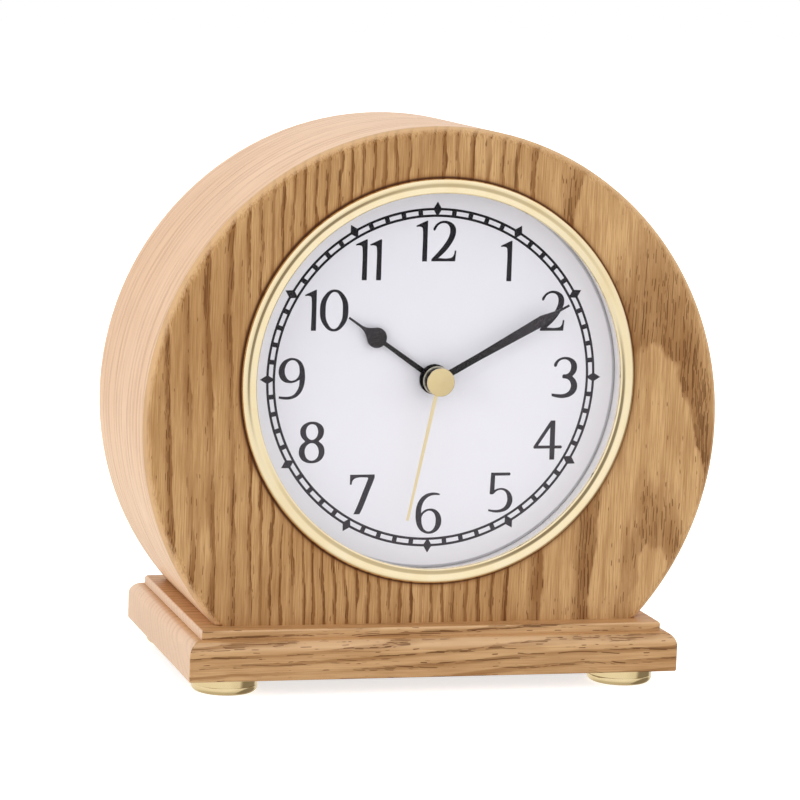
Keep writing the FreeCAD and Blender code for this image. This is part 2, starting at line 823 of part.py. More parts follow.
def third_wheel():
    arbor = rod(third_x, third_z, level_centre - arbor_stub, pivot_end, third_arbor_radius)
    wheel = gear(third_x, third_z, third_wheel_teeth, third_module, level_third,
                 level_third + wheel_thickness, gap_towards(third_direction + 180, third_wheel_teeth))
    pinion = gear(third_x, third_z, third_pinion_teeth, centre_module, level_centre - pinion_overlap,
                  level_centre + wheel_thickness + pinion_overlap, third_direction + 180)
    return fused([arbor, wheel, pinion])


def centre_wheel():
    """Minute wheel of the train; its hub grips the minute pipe and slips when the hands are set."""
    wheel = gear(0, 0, centre_wheel_teeth, centre_module, level_centre, level_centre + wheel_thickness,
                 gap_towards(third_direction, centre_wheel_teeth))
    s0, s1 = level_centre - through, level_centre + wheel_thickness + through
    wheel = wheel.cut(rod(0, 0, s0, s1, minute_pipe_radius + clutch_fit))
    for index in range(centre_hole_count):
        x, h = polar(centre_hole_at, 30.0 + 360.0 * index / centre_hole_count)
        wheel = wheel.cut(rod(x, h, s0, s1, centre_hole_radius))
    return wheel


def intermediate_wheel():
    arbor = rod(intermediate_x, intermediate_z, plate_back - pivot_depth + pivot_end_gap, pivot_end,
                intermediate_arbor_radius)
    pinion = gear(intermediate_x, intermediate_z, intermediate_pinion_teeth, motor_module,
                  level_second - pinion_overlap, level_second + wheel_thickness + pinion_overlap,
                  motor_direction + 180)
    wheel = gear(intermediate_x, intermediate_z, intermediate_wheel_teeth, motor_module, level_motor,
                 level_motor + wheel_thickness, gap_towards(motor_direction, intermediate_wheel_teeth))
    return fused([arbor, pinion, wheel])


def rotor():
    arbor = rod(rotor_x, rotor_z, plate_back - pivot_depth + pivot_end_gap, pivot_end, rotor_arbor_radius)
    magnet_back = level_motor - motor_to_magnet
    magnet = rod(rotor_x, rotor_z, magnet_back - magnet_length, magnet_back, magnet_radius)
    pinion = gear(rotor_x, rotor_z, rotor_pinion_teeth, motor_module, level_motor - pinion_overlap,
                  level_motor + wheel_thickness + pinion_overlap, motor_direction + 180)
    return fused([arbor, magnet, pinion])


# ---- motion work --------------------------------------------------------------------------
def minute_pipe_front():
    return dial_depth - minute_hand_height - hand_thickness - pipe_proud


def minute_pipe():
    front = minute_pipe_front()
    back = level_centre + wheel_thickness + pinion_overlap
    pipe = rod(0, 0, front, back, minute_pipe_radius)
    pinion = gear(0, 0, cannon_pinion_teeth, cannon_module, level_motion - pinion_overlap,
                  level_motion + wheel_thickness + pinion_overlap, motion_direction)
    return fused([pipe, pinion]).cut(rod(0, 0, front, back, second_arbor_radius + pipe_fit))


def motion_wheel():
    stem = rod(motion_x, motion_z, inside_front - pivot_depth + pivot_end_gap,
               knob_front() + knob_height - knob_cap, setting_stem_radius)
    wheel = gear(motion_x, motion_z, motion_wheel_teeth, cannon_module, level_motion,
                 level_motion + wheel_thickness, gap_towards(motion_direction + 180, motion_wheel_teeth))
    pinion = gear(motion_x, motion_z, motion_pinion_teeth, hour_module, level_hour - pinion_overlap,
                  level_motion, motion_direction + 180)
    return fused([stem, wheel, pinion])


def hour_wheel():
    front = dial_depth - hour_hand_height - hand_thickness - pipe_proud
    back = level_hour + wheel_thickness + pinion_overlap
    pipe = rod(0, 0, front, back, hour_pipe_radius)
    wheel = gear(0, 0, hour_wheel_teeth, hour_module, level_hour, level_hour + wheel_thickness,
                 gap_towards(motion_direction, hour_wheel_teeth))
    return fused([pipe, wheel]).cut(rod(0, 0, front, back, minute_pipe_radius + pipe_fit))


def knob_front():
    return movement_back + knob_clearance


def setting_knob():
    s0 = knob_front()
    s1 = s0 + knob_height
    body = rod(motion_x, motion_z, s0, s1, knob_radius)
    rim = [e for e in body.Edges if abs(e.CenterOfMass.y - face_y - s1) < 1e-6]
    body = body.makeFillet(knob_edge_round, rim)
    for index in range(knob_rib_count):
        dx, dh = polar(knob_radius + knob_rib_radius - knob_rib_depth, 360.0 * index / knob_rib_count)
        body = body.cut(rod(motion_x + dx, motion_z + dh, s0, s1, knob_rib_radius))
    return body.cut(rod(motion_x, motion_z, s0, s1 - knob_cap, setting_stem_radius))


# ---- hands --------------------------------------------------------------------------------
def hand_depths(height, thickness):
    back = dial_depth - height
    return back - thickness, back


def mirrored_outline(sides, s0, s1):
    # a blade along its own middle line, from (half width, distance out) down one side
    back = [(-half, out) for half, out in reversed(sides)]
    return outline_solid(sides + back, s0, s1)


def hour_hand():
    s0, s1 = hand_depths(hour_hand_height, hand_thickness)
    shaft_sides = [(hour_hand_root_width / 2, 0), (hour_hand_neck_width / 2, hour_hand_spot_at)]
    shaft = mirrored_outline(shaft_sides, s0, s1)
    drop = [(half, hour_hand_spot_at + beyond) for beyond, half in hour_hand_shoulder]
    tip_start = [(drop[0][0], hour_hand_spot_at)]
    tip = mirrored_outline(tip_start + drop + [(hand_tip_width / 2, hour_hand_length)], s0, s1)
    spot = rod(0, hour_hand_spot_at, s0, s1, hour_hand_spot_radius)
    hub = rod(0, 0, s0, s1, hour_hub_radius)
    hand = fused([shaft, tip, spot, hub]).cut(rod(0, 0, s0, s1, hour_pipe_radius))
    return spun(hand, hour_hand_angle)


def minute_hand():
    s0, s1 = hand_depths(minute_hand_height, hand_thickness)
    root = minute_hand_root_width / 2
    wide = minute_hand_wide_width / 2
    tip = hand_tip_width / 2
    blade = mirrored_outline([(root, 0), (root, minute_hand_root_until), (wide, minute_hand_wide_at),
                              (tip, minute_hand_tip_from), (tip, minute_hand_length)], s0, s1)
    hub = rod(0, 0, s0, s1, minute_hub_radius)
    boss = rod(0, 0, s0 - minute_boss_height, s0, minute_boss_radius)
    bore = rod(0, 0, minute_pipe_front(), s1, minute_pipe_radius)
    clearance = rod(0, 0, s0 - minute_boss_height, s1, second_arbor_radius + pipe_fit)
    return spun(fused([blade, hub, boss]).cut(bore).cut(clearance), minute_hand_angle)


def second_seat():
    return dial_depth - second_hand_height - second_hand_thickness


def second_hand():
    s0 = second_seat()
    s1 = s0 + second_hand_thickness
    root = second_hand_root_width / 2
    tip = second_hand_tip_width / 2
    blade = outline_solid([(-root, 0), (root, 0), (tip, second_hand_length), (-tip, second_hand_length)],
                          s0, s1)
    hub = rod(0, 0, s0, s1, second_hub_radius)
    collar = rod(0, 0, s0 - cap_collar_height, s0, cap_collar_radius)
    hand = fused([blade, hub, collar])
    return spun(hand.cut(rod(0, 0, s0 - cap_collar_height, s1, second_arbor_radius)), second_hand_angle)


def second_hand_cap():
    back = second_seat() - cap_collar_height
    front = back - cap_thickness
    cap = rod(0, 0, front, back, cap_radius)
    rim = [e for e in cap.Edges if abs(e.CenterOfMass.y - face_y - front) < 1e-6]
    return cap.makeFillet(cap_edge_round, rim)


# ---- write one file for each sub-part -----------------------------------------------------
def sub_parts():
    parts = {
        "front_board": front_board(),
        "case_hoop": case_hoop(),
        "rear_board": rear_board(),
        "floor_board": floor_board(),
        "plinth": plinth(),
        "plinth_screws": plinth_screws(),
        "foot_screws": foot_screws(),
        "bezel": bezel(),
        "glass": glass(),
        "glass_gasket": glass_gasket(),
        "dial_cup": dial_cup(),
        "cup_screws": cup_screws(),
        "dial_plate": dial_plate(),
        "movement_front_case": movement_front_case(),
        "movement_middle_plate": movement_middle_plate(),
        "movement_rear_case": movement_rear_case(),
        "movement_screws": movement_screws(),
        "stator_plate": stator_plate(),
        "coil_core": coil_core(),
        "coil_bobbin": coil_bobbin(),
        "coil_winding": coil_winding(),
        "circuit_board": circuit_board(),
        "quartz_crystal": quartz_crystal(),
        "chip_blob": chip_blob(),
        "battery_contact_negative": battery_contact(-1),
        "battery_contact_positive": battery_contact(1),
        "battery": battery(),
        "second_wheel": second_wheel(),
        "second_hand": second_hand(),
        "second_hand_cap": second_hand_cap(),
        "third_wheel": third_wheel(),
        "centre_wheel": centre_wheel(),
        "intermediate_wheel": intermediate_wheel(),
        "rotor": rotor(),
        "minute_pipe": minute_pipe(),
        "minute_hand": minute_hand(),
        "motion_wheel": motion_wheel(),
        "setting_knob": setting_knob(),
        "hour_wheel": hour_wheel(),
        "hour_hand": hour_hand(),
    }
    for name, (x, y) in foot_places().items():
        parts[name] = foot(x, y)
    return parts


os.makedirs("parts", exist_ok=True)
for name, shape in sub_parts().items():
    if not shape.isValid():
        raise ValueError(name + " is not a valid shape")
    shape.exportStep("parts/" + name + ".step")
    print(name, len(shape.Solids), "solid(s)", round(shape.Volume, 3), "mm3")
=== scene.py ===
import json
import math
import bmesh
import bpy
from mathutils import Euler, Matrix, Vector


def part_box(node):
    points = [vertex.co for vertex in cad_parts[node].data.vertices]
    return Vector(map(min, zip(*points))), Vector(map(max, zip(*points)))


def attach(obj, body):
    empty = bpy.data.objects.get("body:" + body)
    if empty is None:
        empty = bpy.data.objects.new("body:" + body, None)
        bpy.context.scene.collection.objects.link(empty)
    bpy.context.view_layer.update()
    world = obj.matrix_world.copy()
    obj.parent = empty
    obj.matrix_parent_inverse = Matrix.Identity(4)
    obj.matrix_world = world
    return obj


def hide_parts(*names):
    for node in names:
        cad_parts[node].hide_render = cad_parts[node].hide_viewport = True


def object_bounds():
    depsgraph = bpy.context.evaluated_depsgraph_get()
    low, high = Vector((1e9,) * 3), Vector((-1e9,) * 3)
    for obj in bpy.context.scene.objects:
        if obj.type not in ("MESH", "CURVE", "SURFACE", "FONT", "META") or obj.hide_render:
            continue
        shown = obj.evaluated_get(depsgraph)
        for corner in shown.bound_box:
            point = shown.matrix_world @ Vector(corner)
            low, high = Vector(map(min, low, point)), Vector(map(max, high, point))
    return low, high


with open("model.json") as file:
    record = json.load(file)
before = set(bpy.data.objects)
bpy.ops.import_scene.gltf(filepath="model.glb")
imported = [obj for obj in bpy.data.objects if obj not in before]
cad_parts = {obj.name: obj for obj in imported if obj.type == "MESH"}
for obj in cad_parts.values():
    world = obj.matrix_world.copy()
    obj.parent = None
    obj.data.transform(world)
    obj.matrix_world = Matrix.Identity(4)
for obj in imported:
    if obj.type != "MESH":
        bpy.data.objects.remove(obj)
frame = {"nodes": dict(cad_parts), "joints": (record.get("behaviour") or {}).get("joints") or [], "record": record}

cadBounds = [list(corner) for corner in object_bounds()]
mm = 0.001
dialAxis = Vector(next(j["pos_m"] for j in frame["joints"] if j["name"] == "second_spin"))
boardLow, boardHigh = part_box("front_board")
caseRadius = (boardHigh.x - boardLow.x) / 2
caseCentreZ = boardHigh.z - caseRadius
bodyOf = {node: body for body, nodes in frame["record"]["behaviour"]["bodies"].items() for node in nodes}
slotOf = {part["node"]: part["material_slot"] for part in frame["record"]["subparts"]}
print("frame loaded, dial axis at", tuple(dialAxis))


def inMetres(shape, *keys):
    return {key: shape[key] * mm for key in keys}


# ---- camera and lamps

cameraPlace = {"place": (-0.26446, -0.91822, 0.21124), "turn": (82.0157, -2.2128, -15.6661), "lens": 149.15}
studio = {"ambient": 0.62, "aim": (0, 0, 0.08), "floorReach": 6.0}
lamps = {"key": {"place": (-1.80, -0.75, 0.13), "size": 1.9, "power": 23.6},
         "fill": {"place": (0.42, -1.80, 0.72), "size": 2.4, "power": 12.15},
         "top": {"place": (-0.2, 0.1, 1.6), "size": 1.4, "power": 3.6},
         "side": {"place": (1.75, -0.55, 0.45), "size": 1.5, "power": 6.5},
         "back": {"place": (0.45, 1.85, 0.8), "size": 1.5, "power": 9.0}}


def placeCamera():
    data = bpy.data.cameras.new("camera")
    data.lens = cameraPlace["lens"]
    data.sensor_width = 36.0
    data.clip_start = 0.01
    camera = bpy.data.objects.new("camera", data)
    camera.location = cameraPlace["place"]
    camera.rotation_euler = Euler([math.radians(a) for a in cameraPlace["turn"]])
    bpy.context.scene.collection.objects.link(camera)
    bpy.context.scene.camera = camera


def softLamp(name, place, size, power):
    data = bpy.data.lights.new(name, "AREA")
    data.shape = "SQUARE"
    data.size = size
    data.energy = power
    lamp = bpy.data.objects.new(name, data)
    lamp.visible_glossy = False  # polished metal mirrors the sky instead
    lamp.location = place
    aim = Vector(studio["aim"]) - Vector(place)
    lamp.rotation_euler = aim.to_track_quat("-Z", "Y").to_euler()
    bpy.context.scene.collection.objects.link(lamp)


# ---- node trees

class Signal:  # one socket of a node tree, so that its maths reads as plain expressions
    def __init__(self, graph, socket):
        self.graph = graph
        self.socket = socket

    def maths(self, operation, *others):
        return self.graph.maths(operation, self, *others)

    def beside(self, output):  # another socket of the same node
        return Signal(self.graph, self.socket.node.outputs[output])

    def __add__(self, other):
        return self.maths("ADD", other)

    def __sub__(self, other):
        return self.maths("SUBTRACT", other)

    def __rsub__(self, other):
        return self.graph.maths("SUBTRACT", other, self)

    def __mul__(self, other):
        return self.maths("MULTIPLY", other)

    def __truediv__(self, other):
        return self.maths("DIVIDE", other)

    def __pow__(self, other):
        return self.maths("POWER", other)


class Graph:  # what the two kinds of node tree share
    def node(self, kind, settings=None, inputs=(), output=0):
        item = self.tree.nodes.new(kind)
        for key, value in (settings or {}).items():
            if key == "stops":
                setStops(item.color_ramp, value)
            else:
                setattr(item, key, value)
        pairs = inputs.items() if isinstance(inputs, dict) else enumerate(inputs)
        for place, value in pairs:
            if isinstance(value, Signal):
                self.tree.links.new(value.socket, item.inputs[place])
            elif value is not None:
                item.inputs[place].default_value = value
        return Signal(self, item.outputs[output])

    def maths(self, operation, *values):
        return self.node("ShaderNodeMath", {"operation": operation}, values)

    def join(self, x, y, z):
        return self.node("ShaderNodeCombineXYZ", {}, [x, y, z])


class Finish(Graph):  # a material and the node tree under it
    def __init__(self, name):
        self.material = bpy.data.materials.new(name)
        self.material.use_nodes = True
        self.startTree(self.material.node_tree, "ShaderNodeOutputMaterial")

    def startTree(self, tree, outputKind):
        self.tree = tree
        self.tree.nodes.clear()
        self.output = self.tree.nodes.new(outputKind)

    def place(self):  # object coordinates in millimetres
        coords = self.node("ShaderNodeTexCoord", output=3)
        return self.node("ShaderNodeVectorMath", {"operation": "SCALE"}, {0: coords, 3: 1 / mm})

    def split(self, vector):
        first = self.node("ShaderNodeSeparateXYZ", {}, [vector])
        return first, first.beside(1), first.beside(2)

    def spot(self):  # x, y and z of the point in millimetres
        return self.split(self.place())

    def fromDial(self):  # the same with z from the dial's middle, and the distance from its axis
        x, y, z = self.spot()
        up = z - dialAxis.z / mm
        return x, y, up, (x * x + up * up) ** 0.5

    def noise(self, vector, scale=1.0, detail=2.0, roughness=0.5):
        return self.node("ShaderNodeTexNoise", {}, {"Vector": vector, "Scale": scale, "Detail": detail,
                                                     "Roughness": roughness})

    def step(self, value, low, high):  # smooth change from 0 to 1
        settings = {"interpolation_type": "SMOOTHSTEP"}
        return self.node("ShaderNodeMapRange", settings, {0: value, 1: low, 2: high, 3: 0.0, 4: 1.0})

    def between(self, value, low, full, hold, high):  # 1 inside a span with soft ends
        return self.step(value, low, full) * (1 - self.step(value, hold, high))

    def colours(self, factor, first, second, blend="MIX"):
        settings = {"data_type": "RGBA", "blend_type": blend}
        return self.node("ShaderNodeMix", settings, {0: factor, 6: first, 7: second}, 2)

    def bump(self, height, distance, strength):
        return self.node("ShaderNodeBump", {}, {"Height": height, "Distance": distance, "Strength": strength})

    def surface(self, shader):
        self.tree.links.new(shader.socket, self.output.inputs["Surface"])
        return self.material

    def plain(self, colour, **sockets):
        inputs = {"Base Color": colour}
        inputs.update({key.replace("_", " "): value for key, value in sockets.items()})
        return self.surface(self.node("ShaderNodeBsdfPrincipled", {}, inputs))


def setStops(ramp, stops):
    while len(ramp.elements) < len(stops):
        ramp.elements.new(0.5)
    for element, (position, colour) in zip(ramp.elements, stops):
        element.position = position
        element.color = colour


def rgb(red, green, blue):  # a colour as it reads on a screen, 0 to 255, made linear
    return tuple((c / 255 / 12.92) if c < 10.3 else ((c / 255 + 0.055) / 1.055) ** 2.4
                 for c in (red, green, blue)) + (1.0,)


# ---- wood

def woodFigure(finish, along, across, deep, wood):
    # rings round a pith that runs nearly along the grain, behind the face and leaning from it
    slow = finish.noise(finish.join(along * 0.013, across * 0.03, deep * 0.03), 1.0, 3.0)
    drift = finish.noise(finish.join(along * wood["waveLong"], across * 0.17, deep * 0.17), 1.0, 3.0)
    side = across - wood["pithAcross"] + along * wood["leanAcross"] + (slow - 0.5) * wood["sway"]
    depth = deep + wood["pithDeep"] + along * wood["leanDeep"]
    far = (side * side + depth * depth) ** 0.5 + (drift - 0.5) * wood["wobble"]
    count = finish.node("ShaderNodeValToRGB", {"stops": ringStops(wood)}, [far / wood["reach"]])
    rings = finish.node("ShaderNodeSeparateColor", {}, [count]) * wood["rings"]
    turn = rings.maths("FRACT")
    early = finish.between(turn, 0.0, wood["bandRise"], wood["bandHold"], wood["bandEnd"])
    vigour = finish.noise(finish.join(along * 0.022, rings.maths("FLOOR") * 3.7, deep * 0.05), 1.0, 2.0)
    early = early * finish.step(vigour, wood["vigourLow"], wood["vigourHigh"])
    # vessels are thin tubes along the grain, crowded in the early wood, and a face cuts them into dashes
    bent = (across + (slow - 0.5) * wood["sway"] + (drift - 0.5) * wood["wobble"] * 0.5) * wood["tubes"]
    tube = finish.node("ShaderNodeTexVoronoi", {"voronoi_dimensions": "2D"},
                       {"Vector": finish.join(bent, deep * wood["tubes"], 0.0), "Scale": 1.0})
    chance = finish.split(tube.beside(1))[0]
    run = finish.noise(finish.join(along * wood["poreLong"], chance * 60.0, 0.0), 1.0, 1.0)
    bar = wood["poreBar"] - early * wood["poreEarly"]
    wall = finish.step(tube, wood["tubeCore"], wood["tubeEdge"])
    pores = finish.step(run - bar, 0.0, wood["poreSoft"]) * (1 - wall)
    fibrePlace = finish.join(along * wood["fibreLong"], across * wood["fibreWide"], deep * wood["fibreWide"])
    fibres = finish.noise(fibrePlace, 1.0, 4.0, 0.62)
    smoke = finish.noise(finish.join(along * 0.04, across * 0.30, deep * 0.30), 1.0, 3.0)
    return early, pores, fibres, slow, smoke


def ringStops(wood):  # which ring stands at which distance from the pith
    return [(far / wood["reach"], (ring / wood["rings"],) * 3 + (1.0,)) for far, ring in wood["ringAt"]]


def oak(name, wood, axes):
    # the hoop's paler wood, its foot and mid tints, the plinth's pale ends and round edges and its darker level
    # tops are painted light and shade; the front's pale rim is partly cut grain, partly painted highlight, and the
    # seam rings are a dark joint with a painted contact shadow
    finish = Finish(name)
    along, across, deep = axes(finish)
    early, pores, fibres, slow, smoke = woodFigure(finish, along, across, deep, wood)
    tone = finish.colours(finish.step(slow - across * wood["fade"], 0.32, 0.68), wood["pale"], wood["warm"])
    sideways, rearward, upward = finish.split(finish.node("ShaderNodeNewGeometry", output=1))
    level = finish.step(upward, 0.85, 0.97)
    shares = {"smoke": finish.step(smoke, 0.38, 0.70), "fibre": finish.step(fibres, 0.36, 0.72),
              "paintedEdgeLight": finish.step(upward, 0.15, 0.5) * (1 - level),  # painted highlight on the upward round edges of a moulding
              "early": early, "pore": pores,
              # the ends that face sideways are painted paler, as painted light
              "end": finish.step(sideways.maths("ABSOLUTE") - rearward.maths("ABSOLUTE"), 0.02, 0.3),
              # level faces are painted darker, as painted shade
              "top": level,
              "rim": 1 - finish.step((fibres - 0.5) * 0.5 - rearward, 0.55, 0.97)}  # the rounded front edge, paler: partly cut grain, partly painted highlight
    for key, share in shares.items():
        if key in wood:
            colour, strength = wood[key]
            tone = finish.colours(share * strength, tone, colour)
    if "footTint" in wood:  # painted light low on the case, painted shade half way up, none at the top
        up = finish.spot()[2]
        paintedTint = finish.colours(finish.step(up, *wood["footToMid"]), wood["footTint"], wood["paintedMidShade"])
        paintedTint = finish.colours(finish.step(up, *wood["midToTop"]), paintedTint, (1.0, 1.0, 1.0, 1.0))
        tone = finish.colours(1.0, tone, paintedTint, "MULTIPLY")
    if "seams" in wood:  # dark rings round the bore: a dark joint and a painted contact shadow
        radius = finish.fromDial()[3]
        for low, high, strength, colour in wood["seams"]:
            tone = finish.colours((1 - finish.step(radius, low, high)) * strength, tone, colour)
    return finish.plain(tone, Roughness=pores * 0.2 + wood["gloss"], Specular_IOR_Level=wood["shine"],
                        Normal=finish.bump(fibres * 0.3 - pores, 0.03 * mm, 0.5))


frontOak = {"pithAcross": 63.4, "pithDeep": 26.1, "leanAcross": 0.058, "leanDeep": 0.12, "reach": 160.0,
            "rings": 36.0,
            "ringAt": [(0, 0), (10, 1), (20, 2), (27, 3), (38.5, 4), (47.5, 5), (66, 10), (122.5, 28.5),
                       (146, 32.5), (160, 34.5)],
            "sway": 5.0, "wobble": 2.6, "waveLong": 0.09, "bandRise": 0.07, "bandHold": 0.18, "bandEnd": 0.5,
            "vigourLow": 0.2, "vigourHigh": 0.58, "tubes": 3.0, "tubeCore": 0.18, "tubeEdge": 0.56,
            "poreLong": 0.2, "poreBar": 0.68, "poreEarly": 0.32, "poreSoft": 0.06, "fibreLong": 0.08,
            "fibreWide": 3.0, "pale": rgb(212, 171, 120), "warm": rgb(190, 147, 97), "fade": 0.002,
            "smoke": (rgb(158, 114, 66), 0.5), "fibre": (rgb(142, 96, 48), 0.62),
            # the rim tone: a paler round edge, partly cut grain, partly painted highlight
            "early": (rgb(134, 88, 43), 0.88), "pore": (rgb(92, 52, 18), 0.8), "rim": (rgb(224, 184, 138), 0.75),
            # the seam rings: a dark joint round the bore with a painted contact shadow
            "seams": [(57.6, 59.2, 0.45, rgb(132, 78, 28)), (57.5, 58.2, 0.92, rgb(62, 24, 3))],
            "gloss": 0.5, "shine": 0.2}
# the hoop: the front's oak written paler, as painted light; its foot tint is painted light, its mid tint painted shade
sideOakPaintedLight = {"pithAcross": -150.0, "pithDeep": 30.0, "leanAcross": 0.012, "leanDeep": 0.0, "reach": 240.0,
           "rings": 60.0, "ringAt": [(0, 0), (240, 60)], "sway": 6.0, "wobble": 3.2, "waveLong": 0.04,
           "bandRise": 0.35, "bandHold": 0.4, "bandEnd": 0.95, "vigourLow": 0.3, "vigourHigh": 0.62, "tubes": 4.2,
           "tubeCore": 0.1, "tubeEdge": 0.55, "poreLong": 0.05, "poreBar": 0.57, "poreEarly": 0.2, "poreSoft": 0.1,
           "fibreLong": 0.04, "fibreWide": 3.4, "pale": rgb(247, 209, 173), "warm": rgb(240, 199, 161),
           "fade": 0.0, "footTint": (1.05, 1.11, 1.15, 1), "paintedMidShade": (0.93, 0.91, 0.88, 1),
           "smoke": (rgb(228, 188, 152), 0.3), "fibre": (rgb(218, 176, 142), 0.35),
           "early": (rgb(206, 160, 126), 0.36), "pore": (rgb(178, 128, 94), 0.6), "footToMid": (35.0, 100.0),
           "midToTop": (130.0, 158.0), "gloss": 0.4, "shine": 0.22}
plinthOak = {"pithAcross": 64.0, "pithDeep": 22.0, "leanAcross": -0.045, "leanDeep": 0.0, "reach": 120.0,
             "rings": 44.0, "ringAt": [(0, 0), (120, 44)], "sway": 9.0, "wobble": 1.6, "waveLong": 0.05,
             "bandRise": 0.15, "bandHold": 0.25, "bandEnd": 0.6, "vigourLow": 0.2, "vigourHigh": 0.6, "tubes": 3.0,
             "tubeCore": 0.2, "tubeEdge": 0.52, "poreLong": 0.2, "poreBar": 0.63, "poreEarly": 0.27,
             "poreSoft": 0.05, "fibreLong": 0.05, "fibreWide": 3.2, "pale": rgb(210, 170, 122),
             "warm": rgb(197, 154, 106), "fade": 0.0, "smoke": (rgb(166, 122, 76), 0.5),
             "fibre": (rgb(158, 112, 64), 0.5), "early": (rgb(144, 98, 50), 0.66), "pore": (rgb(92, 52, 18), 0.85),
             # painted light: the paler round edges and ends; painted shade: the darker level tops
             "paintedEdgeLight": (rgb(228, 190, 150), 0.5), "end": (rgb(240, 208, 180), 0.76),
             "top": (rgb(202, 152, 102), 0.6), "grainLow": 10.0, "gloss": 0.45, "shine": 0.3}


def uprightGrain(finish):
    x, y, z = finish.spot()
    return z - dialAxis.z / mm, x, y - boardLow.y / mm


def hoopGrain(finish):
    x, y, z = finish.spot()
    up = z - caseCentreZ / mm
    radius = (x * x + up * up) ** 0.5
    return x.maths("ARCTAN2", up) * (caseRadius / mm), y, radius - caseRadius / mm


def levelGrain(finish):
    x, y, z = finish.spot()
    return x, z - plinthOak["grainLow"], y - cadBounds[0][1] / mm


# ---- other finishes

def darker(colour, share):
    return tuple(c * share for c in colour[:3]) + (1.0,)


def turnedBrass(name, colours, rough, centre, axis, grooves):
    # fine lathe lines round an axis along Y or Z, with faint tarnish
    finish = Finish(name)
    x, y, z = finish.spot()
    far = x - centre[0] / mm
    other = (z - centre[2] / mm) if axis == "Y" else (y - centre[1] / mm)
    lines = finish.noise(finish.join((far * far + other * other) ** 0.5 * 9.0, 0.0, 0.0), 1.0, 3.0)
    cloud = finish.noise(finish.place(), 0.12, 3.0)
    tone = finish.colours(finish.step(cloud, 0.35, 0.75) * 0.5, *colours)
    return finish.plain(tone, Metallic=1.0, Roughness=lines * 0.06 + (cloud - 0.5) * 0.05 + rough,
                        Normal=finish.bump(lines, grooves * mm, 1.0))


def satinMetal(name, colour, rough):
    finish = Finish(name)
    x, y, z = finish.spot()
    brushed = finish.noise(finish.join(x * 0.3, y * 3.0, z * 0.8), 2.0, 3.0)
    return finish.plain(finish.colours(brushed * 0.3, colour, darker(colour, 0.8)), Metallic=1.0,
                        Roughness=brushed * 0.12 + rough, Normal=finish.bump(brushed, 0.006 * mm, 0.3))


def moulded(name, colour, rough, grain=0.02, cloudy=0.2):
    finish = Finish(name)
    place = finish.place()
    spark = finish.noise(place, 3.2, 2.0)
    cloud = finish.noise(place, 0.08, 2.0)
    return finish.plain(finish.colours(cloud * cloudy, colour, darker(colour, 0.72)),
                        Roughness=spark * 0.12 + rough, Normal=finish.bump(spark, grain * mm, 0.4))


# these three hold painted light and shade: the ink and the hands turn greyer as painted reflection, the
# minute hand's boss carries a painted highlight, and the dial is greyer towards the top as painted shade,
# paler at its rim as painted light, with a painted shadow against the cup
inkPaintedGlare = {"slant": 0.15, "span": (-58.0, 30.0)}
handPaintedGlare = {"span": (8.0, 34.0), "collar": (3.72, 3.78, 4.1, 4.16), "seat": (1.1, 1.16, 1.36, 1.44)}
dialPaintedLightAndShade = {"slant": 0.3, "span": (-20.0, 46.0), "rim": (47.0, 51.0), "cornerFrom": 0.95, "cornerTo": 0.35}


def dialInk():
    finish = Finish("dialInk")
    patchy = finish.noise(finish.place(), 0.5, 2.0)
    x, y, z = finish.spot()
    # painted reflection: the ink turns greyer towards the foot of the dial
    low = finish.step(dialAxis.z / mm - z + x * inkPaintedGlare["slant"], *inkPaintedGlare["span"])
    tone = finish.colours(patchy, rgb(18, 15, 21), rgb(30, 27, 33))
    tone = finish.colours(low, tone, rgb(72, 68, 73))
    return finish.plain(tone, Roughness=patchy * 0.1 + 0.4, Specular_IOR_Level=0.1)


def handLacquer():
    # black lacquer on stamped sheet, and a bright ring round the minute hand's boss as a painted highlight
    finish = Finish("handBlack")
    x, y, up, radius = finish.fromDial()
    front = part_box("minute_hand")[0].y / mm
    bossGlint = finish.between(radius, *handPaintedGlare["collar"]) * finish.between(y, *(front + d for d in handPaintedGlare["seat"]))
    patchy = finish.noise(finish.place(), 1.2, 2.0)
    tone = finish.colours(patchy, rgb(12, 9, 12), rgb(22, 18, 22))
    # painted reflection: the hands turn greyer towards their tips
    tone = finish.colours(finish.step(radius, *handPaintedGlare["span"]), tone, rgb(56, 51, 56))
    # painted highlight: a bright ring on the minute hand's boss
    tone = finish.colours(bossGlint, tone, rgb(214, 208, 190))
    return finish.plain(tone, Metallic=bossGlint * 0.4, Roughness=patchy * 0.06 + 0.24, Specular_IOR_Level=0.35,
                        Normal=finish.bump(patchy, 0.003 * mm, 0.3))


def paintedDial():
    finish = Finish("dialWhite")
    x, y, up, radius = finish.fromDial()
    cloud = finish.noise(finish.place(), 0.03, 2.0)
    tone = finish.colours(cloud * 0.5, rgb(241, 239, 245), rgb(237, 236, 242))
    # painted shade: the dial greyer towards the top
    tone = finish.colours(finish.step(up - x * dialPaintedLightAndShade["slant"], *dialPaintedLightAndShade["span"]), tone, rgb(233, 231, 238))
    # painted light: the dial paler towards its rim
    tone = finish.colours(finish.step(radius, *dialPaintedLightAndShade["rim"]) * 0.5, tone, rgb(247, 244, 245))
    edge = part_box("dial_plate")[1].x / mm
    corner = finish.step(radius, edge - dialPaintedLightAndShade["cornerFrom"], edge - dialPaintedLightAndShade["cornerTo"])
    tone = finish.colours(corner * 0.6, tone, rgb(112, 110, 116))  # painted shadow: a dark line in the corner against the cup
    grain = finish.noise(finish.place(), 6.0, 2.0)
    return finish.plain(tone, Roughness=grain * 0.08 + 0.42, Normal=finish.bump(grain, 0.002 * mm, 0.2))


